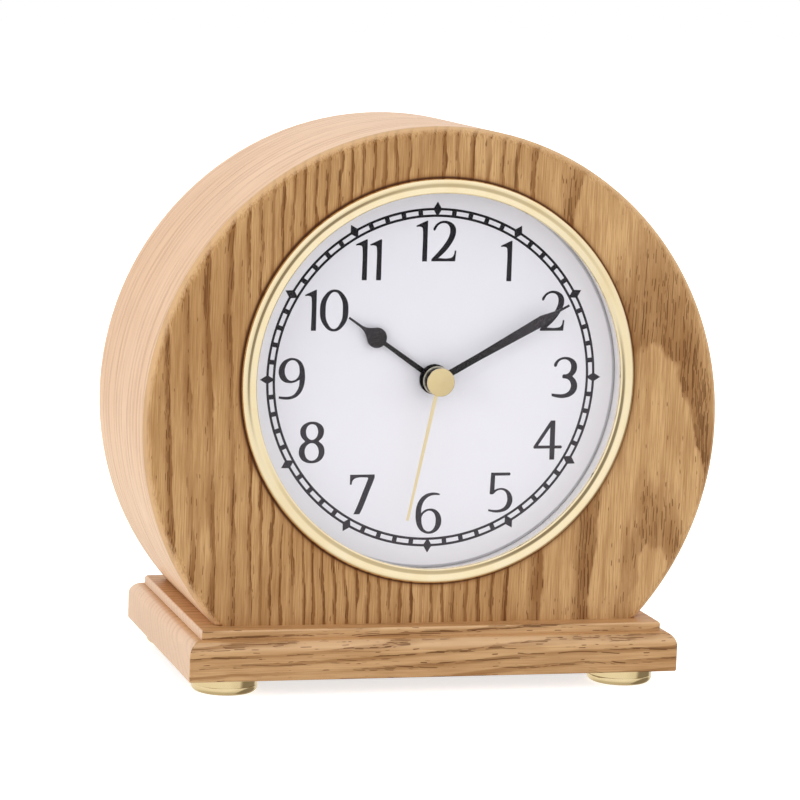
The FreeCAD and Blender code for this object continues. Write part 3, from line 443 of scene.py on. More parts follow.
def clearGlass():
    # shine only where light meets the outside of a face, so that the inside stays clear
    finish = Finish("clearGlass")
    clear = finish.node("ShaderNodeBsdfTransparent", {}, {"Color": (0.99, 0.992, 0.995, 1.0)})
    shine = finish.node("ShaderNodeBsdfGlossy", {}, {"Color": (1.0, 1.0, 1.0, 1.0), "Roughness": 0.02})
    edge = finish.node("ShaderNodeFresnel", {}, {"IOR": 1.22})
    back = finish.node("ShaderNodeNewGeometry", output=6)
    return finish.surface(finish.node("ShaderNodeMixShader", {}, [edge * (1 - back) * 0.6, clear, shine]))


def pressedBoard():
    # the rough side of hardboard: the print of its wire screen, and loose pale and dark fibres
    finish = Finish("fibreboard")
    x, y, z = finish.spot()
    screen = (x * 4.0).maths("SINE") * (z * 4.0).maths("SINE")
    fleck = finish.noise(finish.join(x * 1.5, y * 1.5, z * 0.8), 1.0, 4.0, 0.7)
    cloud = finish.noise(finish.place(), 0.05, 3.0)
    tone = finish.colours(finish.step(cloud, 0.3, 0.7), rgb(172, 138, 98), rgb(152, 116, 78))
    tone = finish.colours(finish.step(fleck, 0.53, 0.72) * 0.6, tone, rgb(206, 174, 132))
    tone = finish.colours((1 - finish.step(fleck, 0.28, 0.46)) * 0.55, tone, rgb(104, 72, 44))
    tone = finish.colours(finish.step(screen, 0.1, 0.7) * 0.16, tone, rgb(96, 66, 40))
    return finish.plain(tone, Roughness=fleck * 0.2 + 0.68, Normal=finish.bump(fleck - screen * 0.35, 0.09 * mm, 0.8))


wrapPlace = {"band": (8.9, 9.1), "line": (7.6, 7.7, 8.1, 8.2), "ends": (24.35, 24.4)}


def wrapPrint():
    # plain two-colour film on the cell
    finish = Finish("batteryWrap")
    x = finish.spot()[0]
    grey = rgb(204, 208, 204)
    band = finish.step(x, *wrapPlace["band"])
    ends = finish.step(x.maths("ABSOLUTE"), *wrapPlace["ends"])
    tone = finish.colours(band, rgb(40, 78, 98), grey)
    tone = finish.colours(finish.between(x, *wrapPlace["line"]), tone, grey)
    tone = finish.colours(ends, tone, rgb(190, 190, 192))
    cloud = finish.noise(finish.place(), 0.4, 2.0)
    return finish.plain(tone, Metallic=ends * 0.6 + band * 0.15, Roughness=cloud * 0.1 + 0.25)


def windings():
    finish = Finish("copperWire")
    turns = (finish.spot()[2] * 9.0).maths("SINE")
    tone = finish.colours(turns * 0.25 + 0.3, rgb(196, 110, 60), rgb(120, 54, 24))
    return finish.plain(tone, Metallic=0.85, Roughness=turns * 0.08 + 0.32)


def greenBoard():
    finish = Finish("circuitBoard")
    x, y, z = finish.spot()
    tracks = finish.noise(finish.join((x * 0.8).maths("ROUND"), 0.0, (z * 0.8).maths("ROUND")), 1.7, 0.0)
    copper = finish.step(tracks, 0.52, 0.56)
    tone = finish.colours(copper * 0.5, rgb(28, 92, 52), rgb(62, 128, 66))
    return finish.plain(tone, Roughness=copper * 0.1 + 0.35)


def floorFinish():
    # the camera sees a white floor that keeps a faint shadow; bounced light stays at a plain level
    finish = Finish("studioFloor")
    seen = finish.node("ShaderNodeLightPath")
    coords = finish.node("ShaderNodeTexCoord", output=3)
    away = finish.step(finish.node("ShaderNodeVectorMath", {"operation": "LENGTH"}, [coords], 1), 0.12, 0.5)
    matt = finish.node("ShaderNodeBsdfDiffuse", {}, {"Color": (0.95, 0.95, 0.95, 1.0)})
    glow = finish.node("ShaderNodeEmission", {}, {"Color": (1.0, 1.0, 1.0, 1.0),
                                                  "Strength": seen * (away * 0.3 + 0.7)})
    return finish.surface(finish.node("ShaderNodeAddShader", {}, [matt, glow]))


# what polished metal sees: pale all round, less so downwards, and dusky low down on the right
mirrorSky = {"high": (1.0, 1.0, 0.99, 1), "low": (0.94, 0.92, 0.87, 1), "under": (0.62, 0.58, 0.5, 1),
             "dusk": (0.27, 0.24, 0.2, 1), "horizon": (-0.25, 0.15), "below": (-0.8, -0.3),
             "duskWay": (0.857, -0.1, -0.505), "duskSpan": (0.74, 0.88), "veilSpan": (0.2, 0.7), "veil": 0.14}


def worldLight():
    finish = Finish("studioSky")
    world = bpy.data.worlds.new("studio")
    bpy.context.scene.world = world
    world.use_nodes = True
    bpy.data.materials.remove(finish.material)
    finish.startTree(world.node_tree, "ShaderNodeOutputWorld")
    way = finish.node("ShaderNodeTexCoord")
    m = mirrorSky
    z = finish.split(way)[2]
    sky = finish.colours(finish.step(z, *m["horizon"]), m["low"], m["high"])
    sky = finish.colours(finish.step(z, *m["below"]), m["under"], sky)
    ahead = finish.node("ShaderNodeVectorMath", {"operation": "DOT_PRODUCT"}, [way, m["duskWay"]], 1)
    dusky = finish.step(ahead, *m["veilSpan"]) * m["veil"] + finish.step(ahead, *m["duskSpan"]) * (1 - m["veil"])
    sky = finish.colours(dusky, sky, m["dusk"])

    def background(colour, strength):
        return finish.node("ShaderNodeBackground", {}, {"Color": colour, "Strength": strength})

    white = (1, 1, 1, 1)
    glossy = finish.node("ShaderNodeLightPath", output=3)
    seen = finish.node("ShaderNodeLightPath")
    lit = finish.node("ShaderNodeMixShader", {}, [glossy, background(white, studio["ambient"]), background(sky, 1.0)])
    finish.surface(finish.node("ShaderNodeMixShader", {}, [seen, lit, background(white, 1.0)]))


# ---- mesh helpers

def newObject(name, mesh):
    thing = bpy.data.objects.new(name, mesh)
    bpy.context.scene.collection.objects.link(thing)
    return thing


def fromShape(name, shape):  # a drawn shape made an object
    mesh = bpy.data.meshes.new(name)
    shape.to_mesh(mesh)
    shape.free()
    return newObject(name, mesh)


def wallBetween(shape, below, above):  # faces between two closed rings of as many points
    for k in range(len(below)):
        n = (k + 1) % len(below)
        shape.faces.new((below[k], below[n], above[n], above[k]))


def frozen(thing):  # the evaluated mesh, with its modifiers gone
    bpy.context.view_layer.update()
    mesh = bpy.data.meshes.new_from_object(thing.evaluated_get(bpy.context.evaluated_depsgraph_get()))
    name = thing.name
    bpy.data.objects.remove(thing)
    return newObject(name, mesh)


def smoothed(thing, angle=35.0):
    mesh = thing.data
    for face in mesh.polygons:
        face.use_smooth = True
    mesh.set_sharp_from_angle(angle=math.radians(angle))
    weight = thing.modifiers.new("weight", "WEIGHTED_NORMAL")
    weight.keep_sharp = True
    weight.weight = 80
    return frozen(thing)


def bevelled(thing, width):
    bevel = thing.modifiers.new("edges", "BEVEL")
    bevel.width = width
    bevel.segments = 2
    bevel.limit_method = "ANGLE"
    bevel.angle_limit = math.radians(35.0)
    bevel.harden_normals = False
    return frozen(thing)


def finishOn(thing, material, body, slotName, *nodes):
    thing.data.materials.clear()
    thing.data.materials.append(material)
    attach(thing, body)
    if nodes:
        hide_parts(*nodes)
    return thing


def copyOf(node, name, edge):
    mesh = frame["nodes"][node].data.copy()
    shape = bmesh.new()
    shape.from_mesh(mesh)
    bmesh.ops.remove_doubles(shape, verts=shape.verts, dist=1e-7)
    bmesh.ops.dissolve_limit(shape, angle_limit=math.radians(0.5), verts=shape.verts, edges=shape.edges)
    shape.to_mesh(mesh)
    shape.free()
    thing = newObject(name, mesh)
    if edge:
        thing = bevelled(thing, edge)
    return smoothed(thing)


def dressed(node, material, edge=0.0, name=""):  # a node of the frame with its finish, on its own body
    words = node.split("_")
    name = name or words[0] + "".join(word.capitalize() for word in words[1:])
    return finishOn(copyOf(node, name, edge * mm), material, bodyOf[node], slotOf[node], node)


def lathe(name, profile, centre, axis, segments):
    # profile is a closed loop of (radius, distance along the axis) in millimetres
    shape = bmesh.new()
    loops = []
    for turn in range(segments):
        angle = 2 * math.pi * turn / segments
        ring = []
        for radius, level in profile:
            a, b = radius * math.cos(angle) * mm, radius * math.sin(angle) * mm
            offset = Vector((a, level * mm, b)) if axis == "Y" else Vector((a, b, level * mm))
            ring.append(shape.verts.new(Vector(centre) + offset))
        loops.append(ring)
    for turn in range(segments):
        wallBetween(shape, loops[turn], loops[(turn + 1) % segments])
    bmesh.ops.remove_doubles(shape, verts=shape.verts, dist=1e-7)
    bmesh.ops.recalc_face_normals(shape, faces=shape.faces)
    return fromShape(name, shape)


def arcPoints(centre, radius, start, end, count):
    # a round stretch of a profile, angles in degrees
    return [(centre[0] + radius * math.cos(math.radians(start + (end - start) * k / count)),
             centre[1] + radius * math.sin(math.radians(start + (end - start) * k / count)))
            for k in range(count + 1)]


class Tree(Graph):  # a geometry node tree with named inputs
    def __init__(self, name, inputs):
        self.tree = bpy.data.node_groups.new(name, "GeometryNodeTree")
        face = self.tree.interface
        face.new_socket("Geometry", in_out="OUTPUT", socket_type="NodeSocketGeometry")
        self.values = {}
        for key, value in inputs.items():
            kind = "NodeSocketInt" if isinstance(value, int) else "NodeSocketFloat"
            self.values[face.new_socket(key, in_out="INPUT", socket_type=kind).identifier] = value
        self.start = self.tree.nodes.new("NodeGroupInput")
        self.end = self.tree.nodes.new("NodeGroupOutput")

    def named(self, *keys):
        found = [Signal(self, self.start.outputs[key]) for key in keys]
        return found if len(keys) > 1 else found[0]

    def raised(self, geometry, up):
        return self.node("GeometryNodeTransform", {}, {"Geometry": geometry, "Translation": self.join(0.0, 0.0, up)})

    def row(self, first, gap):  # points along X
        return self.node("GeometryNodeMeshLine", {}, {"Count": self.named("count"), "Offset": self.join(gap, 0.0, 0.0),
                                                      "Start Location": self.join(first, 0.0, 0.0)})

    def merged(self, shapes):
        whole = self.node("GeometryNodeJoinGeometry")
        for shape in shapes:
            self.tree.links.new(shape.socket, whole.socket.node.inputs[0])
        return whole

    def build(self, name, geometry, material):
        flat = self.node("GeometryNodeRealizeInstances", {}, [geometry])
        coated = self.node("GeometryNodeSetMaterial", {}, {"Geometry": flat, "Material": material})
        self.tree.links.new(coated.socket, self.end.inputs[0])
        thing = newObject(name, bpy.data.meshes.new(name))
        modifier = thing.modifiers.new("nodes", "NODES")
        modifier.node_group = self.tree
        for identifier, value in self.values.items():
            modifier[identifier] = value
        return frozen(thing)


# ---- the printed dial

dialPrint = {"twist": math.radians(0.54), "ink": 0.02, "outerLine": 48.0, "innerLine": 46.13, "line": 0.7,
             "block": 1.35, "blockThick": 0.8, "diamondLong": 4.3, "diamondWide": 2.6, "diamondThick": 1.3}


def stackOnDial(thing, proud):  # from drawn flat, x right and y up, to its place on the dial
    turn = Matrix.Rotation(-dialPrint["twist"], 4, "Y")
    stand = Matrix.Rotation(math.pi / 2, 4, "X")
    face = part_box("dial_plate")[0].y
    thing.data.transform(Matrix.Translation((0, face - proud, dialAxis.z)) @ turn @ stand)
    return thing


def ellipse(halfWide, halfTall, middle=0.1, count=8):
    return [(halfWide * math.sin(2 * math.pi * k / count), middle + halfTall * math.cos(2 * math.pi * k / count))
            for k in range(count)]


# outlines in millimetres about the middle of each figure; a third value marks a corner
figures = {
    "0": [ellipse(4.12, 5.92), ellipse(2.48, 5.2)],
    "1": [[(0.72, -5.6, 1), (0.72, 5.92, 1), (0.38, 5.92, 1), (-2.68, 4.5, 1), (-2.6, 4.15, 1), (-1.6, 4.2),
           (-0.95, 3.95), (-0.74, 3.1), (-0.74, -5.6, 1)]],
    "2": [[(-3.25, 3.35), (-2.75, 4.6), (-1.5, 5.6), (0.0, 5.95), (1.9, 5.45), (3.1, 4.3), (3.4, 2.9),
           (3.05, 1.2), (2.1, -0.6), (0.5, -2.7), (-1.55, -4.62, 1), (1.6, -4.65), (2.6, -4.25), (3.05, -3.35),
           (3.15, -2.5, 1), (3.65, -2.5, 1), (3.4, -5.55, 1), (-3.6, -5.55, 1), (-3.6, -4.95, 1), (-1.7, -2.9),
           (0.1, -0.7), (1.2, 1.1), (1.65, 2.8), (1.45, 4.2), (0.75, 5.0), (-0.35, 5.25), (-1.6, 4.8),
           (-2.35, 3.9), (-2.65, 3.3), (-2.95, 3.1)]],
    "3": [[(-3.5, 3.4), (-3.0, 4.7), (-1.8, 5.6), (-0.2, 5.95), (1.7, 5.55), (3.0, 4.5), (3.45, 3.0), (3.1, 1.5),
           (2.15, 0.35, 1), (3.2, -0.8), (3.7, -2.4), (3.3, -4.0), (2.1, -5.2), (0.2, -5.85), (-1.8, -5.85),
           (-3.9, -5.35, 1), (-3.95, -4.55, 1), (-2.2, -4.78), (-0.4, -4.75), (0.9, -4.2), (1.7, -3.0),
           (1.65, -1.6), (0.9, -0.6), (-0.2, -0.25), (-0.75, -0.15), (-0.9, 0.35), (-0.65, 0.85), (0.3, 0.95),
           (1.2, 1.6), (1.65, 2.9), (1.4, 4.2), (0.6, 5.0), (-0.5, 5.25), (-1.7, 4.9), (-2.4, 4.1),
           (-2.7, 3.3), (-3.1, 3.1)]],
    "4": [[(0.55, 5.85, 1), (1.92, 5.85, 1), (1.98, -1.42, 1), (3.9, -1.42, 1), (4.15, -1.85), (3.9, -2.28, 1),
           (1.98, -2.28, 1), (1.92, -5.5, 1), (0.5, -5.5, 1), (0.44, -2.25, 1), (-4.25, -2.25, 1),
           (-4.45, -1.85), (-4.25, -1.35, 1)],
          [(0.44, 3.85, 1), (0.44, -1.4, 1), (-3.05, -1.38, 1)]],
    "5": [[(-2.95, 6.0, 1), (2.7, 5.95, 1), (2.88, 5.5), (2.7, 5.1, 1), (-1.7, 5.1, 1), (-1.8, 0.98, 1),
           (-0.8, 1.35), (0.3, 1.5), (2.0, 1.0), (3.3, -0.4), (3.7, -2.0), (3.3, -3.6), (2.2, -4.85),
           (0.4, -5.5), (-1.3, -5.6), (-3.5, -5.15, 1), (-3.45, -4.6, 1), (-1.6, -4.85), (0.0, -4.7),
           (1.3, -4.0), (2.05, -2.6), (2.1, -1.2), (1.6, 0.2), (0.6, 0.9), (-0.3, 0.92), (-1.3, 0.5),
           (-2.0, -0.15), (-2.6, -0.32), (-3.2, -0.2, 1)]],
    "6": [[(3.0, 5.75, 1), (3.08, 5.3, 1), (1.5, 5.36), (0.2, 5.1), (-1.2, 4.1), (-1.95, 2.8), (-2.28, 1.3),
           (-2.3, 0.2, 1), (-1.4, 1.0), (0.0, 1.45), (1.5, 1.3), (2.6, 0.6), (3.4, -0.5), (3.75, -2.1),
           (3.4, -3.8), (2.2, -5.2), (0.3, -5.8), (-1.7, -5.3), (-3.05, -4.0), (-3.75, -2.2), (-3.95, 0.0),
           (-3.7, 2.2), (-2.85, 4.1), (-1.4, 5.45), (0.4, 6.05), (1.8, 6.05)],
          [(0.05, 0.88), (1.2, 0.4), (1.9, -0.8), (2.05, -2.2), (1.75, -3.8), (1.0, -4.8), (0.1, -5.12),
           (-1.0, -4.75), (-1.8, -3.6), (-2.15, -2.0), (-2.12, -0.9), (-1.7, -0.1), (-0.9, 0.55)]],
    "7": [[(-3.88, 5.85, 1), (3.3, 5.85, 1), (3.32, 5.1), (2.95, 3.9), (1.9, 1.2), (0.9, -1.5), (-0.15, -4.1),
           (-0.85, -5.5, 1), (-2.6, -5.5, 1), (-1.5, -3.0), (-0.2, 0.4), (1.25, 4.2), (1.42, 4.75),
           (1.25, 5.0, 1), (-1.5, 5.0), (-2.6, 4.65), (-3.15, 4.0), (-3.35, 3.0, 1), (-3.88, 3.0, 1)]],
    "8": [[(0.0, 6.0), (2.0, 5.5), (3.2, 4.3), (3.42, 3.0), (3.0, 1.55), (1.95, 0.4, 1), (3.2, -0.75),
           (3.72, -2.4), (3.3, -4.2), (2.0, -5.4), (0.0, -5.82), (-2.0, -5.4), (-3.3, -4.2), (-3.72, -2.4),
           (-3.2, -0.75), (-1.95, 0.4, 1), (-3.0, 1.55), (-3.45, 3.0), (-3.2, 4.3), (-2.0, 5.5)],
          [(0.0, 5.28), (1.15, 4.75), (1.68, 3.5), (1.68, 2.6), (1.1, 1.35), (0.0, 0.8), (-1.1, 1.35),
           (-1.72, 2.6), (-1.68, 3.9), (-1.1, 4.9)],
          [(0.0, -0.1), (1.3, -0.7), (1.95, -2.0), (2.0, -3.2), (1.4, -4.5), (0.1, -5.08), (-1.2, -4.6),
           (-1.9, -3.3), (-2.0, -2.0), (-1.25, -0.6)]],
    "9": [[(-3.75, -5.4, 1), (-1.4, -5.68), (0.6, -5.3), (2.1, -4.3), (3.15, -2.6), (3.65, -0.4), (3.65, 1.5),
           (3.2, 3.7), (2.1, 5.3), (0.3, 6.05), (-1.6, 5.8), (-3.1, 4.7), (-3.92, 2.8), (-3.7, 0.9),
           (-2.6, -0.5), (-1.0, -1.0), (0.6, -0.85), (2.12, -0.1, 1), (1.95, -2.0), (1.3, -3.4), (0.2, -4.5),
           (-1.3, -4.85), (-3.75, -4.72, 1)],
          [(-0.1, 5.45), (-1.2, 5.0), (-2.0, 3.7), (-2.2, 2.2), (-1.75, 0.7), (-0.95, -0.15), (0.1, -0.32),
           (1.25, 0.2), (1.95, 1.3), (2.05, 2.6), (1.7, 4.2), (0.9, 5.15)]],
}
# each hour's figures, with the place of their middles on the dial
hourPlaces = [("1", -3.4, 38.8), ("2", 2.2, 38.8), ("1", 21.65, 33.2), ("2", 35.05, 18.95), ("3", 39.6, -0.1),
              ("4", 35.2, -18.35), ("5", 21.3, -33.35), ("6", 0.2, -38.9), ("7", -19.45, -33.15),
              ("8", -34.7, -18.0), ("9", -40.85, 0.0), ("1", -35.1, 19.3), ("0", -29.25, 19.3),
              ("1", -20.8, 33.5), ("1", -16.65, 33.5)]


def drawFigure(curve, outline, x, y):
    for contour in outline:
        line = curve.splines.new("BEZIER")
        line.bezier_points.add(len(contour) - 1)
        line.use_cyclic_u = True
        for spot, entry in zip(line.bezier_points, contour):
            spot.co = ((entry[0] + x) * mm, (entry[1] + y) * mm, 0)
            kind = "VECTOR" if len(entry) == 3 else "AUTO"
            spot.handle_left_type = kind
            spot.handle_right_type = kind


def hourFigures(ink):
    curve = bpy.data.curves.new("hourFigures", "CURVE")
    curve.dimensions = "2D"
    curve.fill_mode = "BOTH"
    curve.resolution_u = 10
    curve.extrude = dialPrint["ink"] * mm / 2
    for figure, x, y in hourPlaces:
        drawFigure(curve, figures[figure], x, y)
    thing = frozen(newObject("hourFigures", curve))
    stackOnDial(thing, dialPrint["ink"] * mm / 2)
    return finishOn(thing, ink, "clock_case", "dial_white")


def minuteTrack(ink):
    sizes = inMetres(dialPrint, "outerLine", "innerLine", "line", "block", "diamondLong", "diamondWide", "ink")
    tree = Tree("minuteTrack", {**sizes, "minutes": 60, "lineSteps": 240})
    outer, inner, thick, minutes = tree.named("outerLine", "innerLine", "ink", "minutes")
    line, lineSteps, blockLong, diamondLong, diamondWide = tree.named("line", "lineSteps", "block", "diamondLong",
                                                                      "diamondWide")
    shapes = []
    for radius in (outer, inner):
        circle = tree.node("GeometryNodeCurvePrimitiveCircle", {}, {"Resolution": lineSteps, "Radius": radius})
        band = tree.node("GeometryNodeCurvePrimitiveQuadrilateral", {}, {"Width": line, "Height": thick})
        shapes.append(tree.node("GeometryNodeCurveToMesh", {}, [circle, band]))
    index = tree.node("GeometryNodeInputIndex")
    isHour = tree.node("FunctionNodeCompare", {"data_type": "FLOAT", "operation": "LESS_THAN"},
                       [index.maths("MODULO", 5.0), 0.5])
    isMinute = tree.node("FunctionNodeBooleanMath", {"operation": "NOT"}, [isHour])
    facing = tree.join(None, None, index * tree.maths("DIVIDE", 2 * math.pi, minutes))
    block = tree.node("GeometryNodeMeshCube", {},
                      [tree.join(outer - inner, blockLong, thick * dialPrint["blockThick"])])
    rhomb = tree.node("GeometryNodeMeshCylinder", {}, {"Vertices": 4, "Radius": 0.5, "Depth": 1.0})
    size = tree.join(diamondLong, diamondWide, thick * dialPrint["diamondThick"])
    diamond = tree.node("GeometryNodeTransform", {}, {"Geometry": rhomb, "Scale": size})
    for radius, chosen, stamp in (((outer + inner) * 0.5, isMinute, block), (outer, isHour, diamond)):
        ring = tree.node("GeometryNodeMeshCircle", {}, {"Vertices": minutes, "Radius": radius})
        shapes.append(tree.node("GeometryNodeInstanceOnPoints", {}, {"Points": ring, "Selection": chosen,
                                                                     "Instance": stamp, "Rotation": facing}))
    thing = tree.build("minuteTrack", tree.merged(shapes), ink)
    stackOnDial(thing, dialPrint["ink"] * mm / 2)
    return finishOn(thing, ink, "clock_case", "dial_white")


# ---- dial insert

# radius and height above the wood of points that the face of the ring runs through, from inside out
bezelShape = {"face": [(53.1, 1.15), (53.14, 1.45), (53.26, 1.62), (53.5, 1.68), (53.75, 1.61), (54.1, 1.47),
                       (54.45, 1.34), (54.7, 1.27), (54.85, 1.26), (55.05, 1.31), (55.35, 1.43), (55.65, 1.56),
                       (55.95, 1.67), (56.3, 1.72), (56.65, 1.68), (56.98, 1.48), (57.2, 1.1), (57.3, 0.7)],
              "skirt": 0.5, "skirtLong": 5.0, "relief": 0.1, "seat": -0.4, "bore": 56.0, "fit": 0.1}


def throughAll(points, steps=4):  # a smooth line through every point
    line = []
    for k in range(len(points) - 1):
        before, here, there, after = (points[min(max(k + d, 0), len(points) - 1)] for d in (-1, 0, 1, 2))
        for step in range(steps):
            t = step / steps
            line.append(tuple(0.5 * (2 * here[i] + (there[i] - before[i]) * t
                                     + (2 * before[i] - 5 * here[i] + 4 * there[i] - after[i]) * t ** 2
                                     + (3 * here[i] - before[i] - 3 * there[i] + after[i]) * t ** 3)
                              for i in range(2)))
    return line + [points[-1]]


def bezelRing(brass):
    b = bezelShape
    face = b["face"]
    skirtOut = b["bore"] - b["fit"]
    skirtIn = skirtOut - b["skirt"]
    profile = [(face[0][0], b["seat"])] + [(radius, -proud) for radius, proud in throughAll(face)]
    profile += [(face[-1][0], -b["relief"]), (face[-1][0] - b["relief"], 0.0), (skirtOut, 0.0),
                (skirtOut, b["skirtLong"]), (skirtIn, b["skirtLong"]), (skirtIn, b["seat"])]
    ring = smoothed(lathe("bezelRing", profile, dialAxis, "Y", 256), 40)
    return finishOn(ring, brass, "clock_case", "brass", "bezel")


footShape = {"radius": 9.4, "tall": 5.0, "round": 1.5, "topRound": 0.35, "recess": 3.3, "recessDeep": 0.6,
             "hole": 1.6, "grooveAt": 2.2, "grooveDeep": 0.06, "grooveWide": 0.24}


def footPieces(brassFor):
    f = footShape
    for node in ("foot_front_left", "foot_front_right", "foot_rear_left", "foot_rear_right"):
        low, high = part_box(node)
        centre = ((low.x + high.x) / 2, (low.y + high.y) / 2, low.z)
        side = f["radius"]
        profile = [(f["hole"], f["recessDeep"]), (f["recess"], f["recessDeep"]), (f["recess"], 0.0)]
        profile += arcPoints((side - f["round"], f["round"]), f["round"], -90, 0, 8)
        profile += [(side, f["grooveAt"] - f["grooveWide"] / 2), (side - f["grooveDeep"], f["grooveAt"]),
                    (side, f["grooveAt"] + f["grooveWide"] / 2)]
        profile += arcPoints((side - f["topRound"], f["tall"] - f["topRound"]), f["topRound"], 0, 90, 4)
        profile += [(f["hole"], f["tall"])]
        foot = smoothed(lathe(node.replace("foot", "brassFoot"), profile, centre, "Z", 96), 40)
        finishOn(foot, brassFor(centre), "clock_case", "brass", node)


capShape = {"radius": 4.0, "edge": 0.15, "cone": 0.34, "thick": 0.95, "neck": 2.2}


def handCap(brass):
    low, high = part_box("second_hand_cap")
    thick = (high.y - low.y) / mm
    r, e = capShape["radius"], capShape["edge"]
    profile = [(0.0, 0.0), (0.3, 0.01), (r - e, capShape["cone"])]
    profile += arcPoints((r - e, capShape["cone"] + e), e, -90, 0, 6)[1:]
    profile += [(r, capShape["thick"] - 0.1), (r - 0.1, capShape["thick"]), (capShape["neck"], capShape["thick"]),
                (capShape["neck"], thick), (0.0, thick)]
    centre = (dialAxis.x, low.y, dialAxis.z)
    cap = smoothed(lathe("handCap", profile, centre, "Y", 128), 30)
    return finishOn(cap, brass, "second_group", "brass", "second_hand_cap")


# ---- back of the movement

screwShape = {"head": 2.0, "crown": 1.62, "headHigh": 1.3, "shank": 1.0, "slotLong": 2.5, "slotWide": 0.55,
              "slotDeep": 0.7, "turn": 0.35, "turnStep": 0.8}


def crossScrews(steel):
    s = screwShape
    low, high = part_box("movement_screws")
    sizes = inMetres(s, "head", "crown", "headHigh", "shank", "slotLong", "slotWide", "slotDeep")
    tree = Tree("crossScrews", {**sizes, "reach": (high.x - low.x) / 2 - sizes["head"],
                                "long": high.y - low.y - sizes["headHigh"], "count": 2})
    headHigh, long, reach, slotDeep = tree.named("headHigh", "long", "reach", "slotDeep")
    head = tree.node("GeometryNodeMeshCone", {}, {"Vertices": 40, "Radius Top": tree.named("crown"),
                                                  "Radius Bottom": tree.named("head"), "Depth": headHigh})
    head = tree.raised(head, headHigh * -0.5)
    # one slot is cut a little deeper, so that the two floors don't lie in one plane
    for wide, tall, depth in (("slotLong", "slotWide", 2.0), ("slotWide", "slotLong", 2.1)):
        bar = tree.node("GeometryNodeMeshCube", {}, [tree.join(*tree.named(wide, tall), slotDeep * depth)])
        bar = tree.raised(bar, headHigh * 0.5)
        head = tree.node("GeometryNodeMeshBoolean", {"operation": "DIFFERENCE"}, [head, bar])
    shank = tree.node("GeometryNodeMeshCylinder", {}, {"Vertices": 24, "Radius": tree.named("shank"), "Depth": long})
    whole = tree.merged([head, tree.raised(shank, (long + headHigh) * -0.5)])
    twist = tree.node("GeometryNodeInputIndex") * s["turnStep"] + s["turn"]
    screws = tree.node("GeometryNodeInstanceOnPoints", {}, {"Points": tree.row(reach * -1.0, reach * 2.0),
                                                            "Instance": whole, "Rotation": tree.join(0.0, 0.0, twist)})
    thing = tree.build("crossScrews", screws, steel)
    stand = Matrix.Rotation(-math.pi / 2, 4, "X")  # heads to the rear
    place = Matrix.Translation((0, high.y - s["headHigh"] * mm / 2, (low.z + high.z) / 2))
    thing.data.transform(place @ stand)
    return finishOn(smoothed(thing), steel, "clock_case", "steel_screws", "movement_screws")


markShape = {"proud": 0.4, "sunk": 0.05, "sign": 3.4, "stroke": 0.8, "signX": 21.0, "signUp": 3.0, "arcRadius": 9.2,
             "arcWide": 0.7, "arcFrom": 35.0, "arcTo": 145.0, "arrow": 1.5, "arrowLong": 1.6}
ribShape = {"count": 9, "gap": 2.6, "long": 7.0, "wide": 1.1, "tall": 0.8, "down": 8.0, "edge": 0.12}


def raisedMarks(marking):
    # plus and minus over the battery's ends, and a two-way arrow over the setting knob
    m = markShape
    knobLow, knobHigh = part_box("setting_knob")
    knob = ((knobLow.x + knobHigh.x) / 2 / mm, (knobLow.z + knobHigh.z) / 2 / mm)
    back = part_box("movement_rear_case")[1].y - m["sunk"] * mm
    shape = bmesh.new()

    def raised(outline):  # an outline in millimetres, x and z, made a low block on the case's back
        below, above = [[shape.verts.new((x * mm, back + lift * mm, z * mm)) for x, z in outline]
                        for lift in (0.0, m["proud"] + m["sunk"])]
        wallBetween(shape, below, above)
        shape.faces.new(below)
        shape.faces.new(above)

    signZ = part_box("battery")[1].z / mm + m["signUp"]
    half = m["sign"] / 2
    thin = m["stroke"] / 2
    raised([(-m["signX"] + x, signZ + z) for x, z in ((-half, -thin), (half, -thin), (half, thin), (-half, thin))])
    raised([(m["signX"] + x, signZ + z) for x, z in
            ((-half, -thin), (-thin, -thin), (-thin, -half), (thin, -half), (thin, -thin), (half, -thin),
             (half, thin), (thin, thin), (thin, half), (-thin, half), (-thin, thin), (-half, thin))])
    raised(arcPoints(knob, m["arcRadius"] - m["arcWide"] / 2, m["arcFrom"], m["arcTo"], 24)
           + arcPoints(knob, m["arcRadius"] + m["arcWide"] / 2, m["arcTo"], m["arcFrom"], 24))
    for angle, way in ((m["arcFrom"], -1), (m["arcTo"], 1)):
        a = math.radians(angle)
        tip = math.radians(angle + way * math.degrees(m["arrow"] * m["arrowLong"] / m["arcRadius"]))
        points = [(m["arcRadius"] - m["arrow"], a), (m["arcRadius"] + m["arrow"], a), (m["arcRadius"], tip)]
        raised([(knob[0] + r * math.cos(t), knob[1] + r * math.sin(t)) for r, t in points])
    bmesh.ops.recalc_face_normals(shape, faces=shape.faces)
    return finishOn(smoothed(fromShape("raisedMarks", shape)), marking, "clock_case", "black_plastic")


def caseRibs(plastic):
    tree = Tree("caseRibs", {"count": ribShape["count"], **inMetres(ribShape, "gap", "wide", "long", "tall")})
    gap = tree.named("gap")
    block = tree.node("GeometryNodeMeshCube", {}, [tree.join(*tree.named("wide", "tall", "long"))])
    points = tree.row((tree.named("count") - 1.0) * gap * -0.5, gap)
    thing = tree.build("caseRibs", tree.node("GeometryNodeInstanceOnPoints", {}, {"Points": points, "Instance": block}),
                       plastic)
    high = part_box("movement_rear_case")[1]
    thing.data.transform(Matrix.Translation((0, high.y, high.z - ribShape["down"] * mm)))
    return finishOn(smoothed(bevelled(thing, ribShape["edge"] * mm)), plastic, "clock_case", "black_plastic")


# ---- plinth

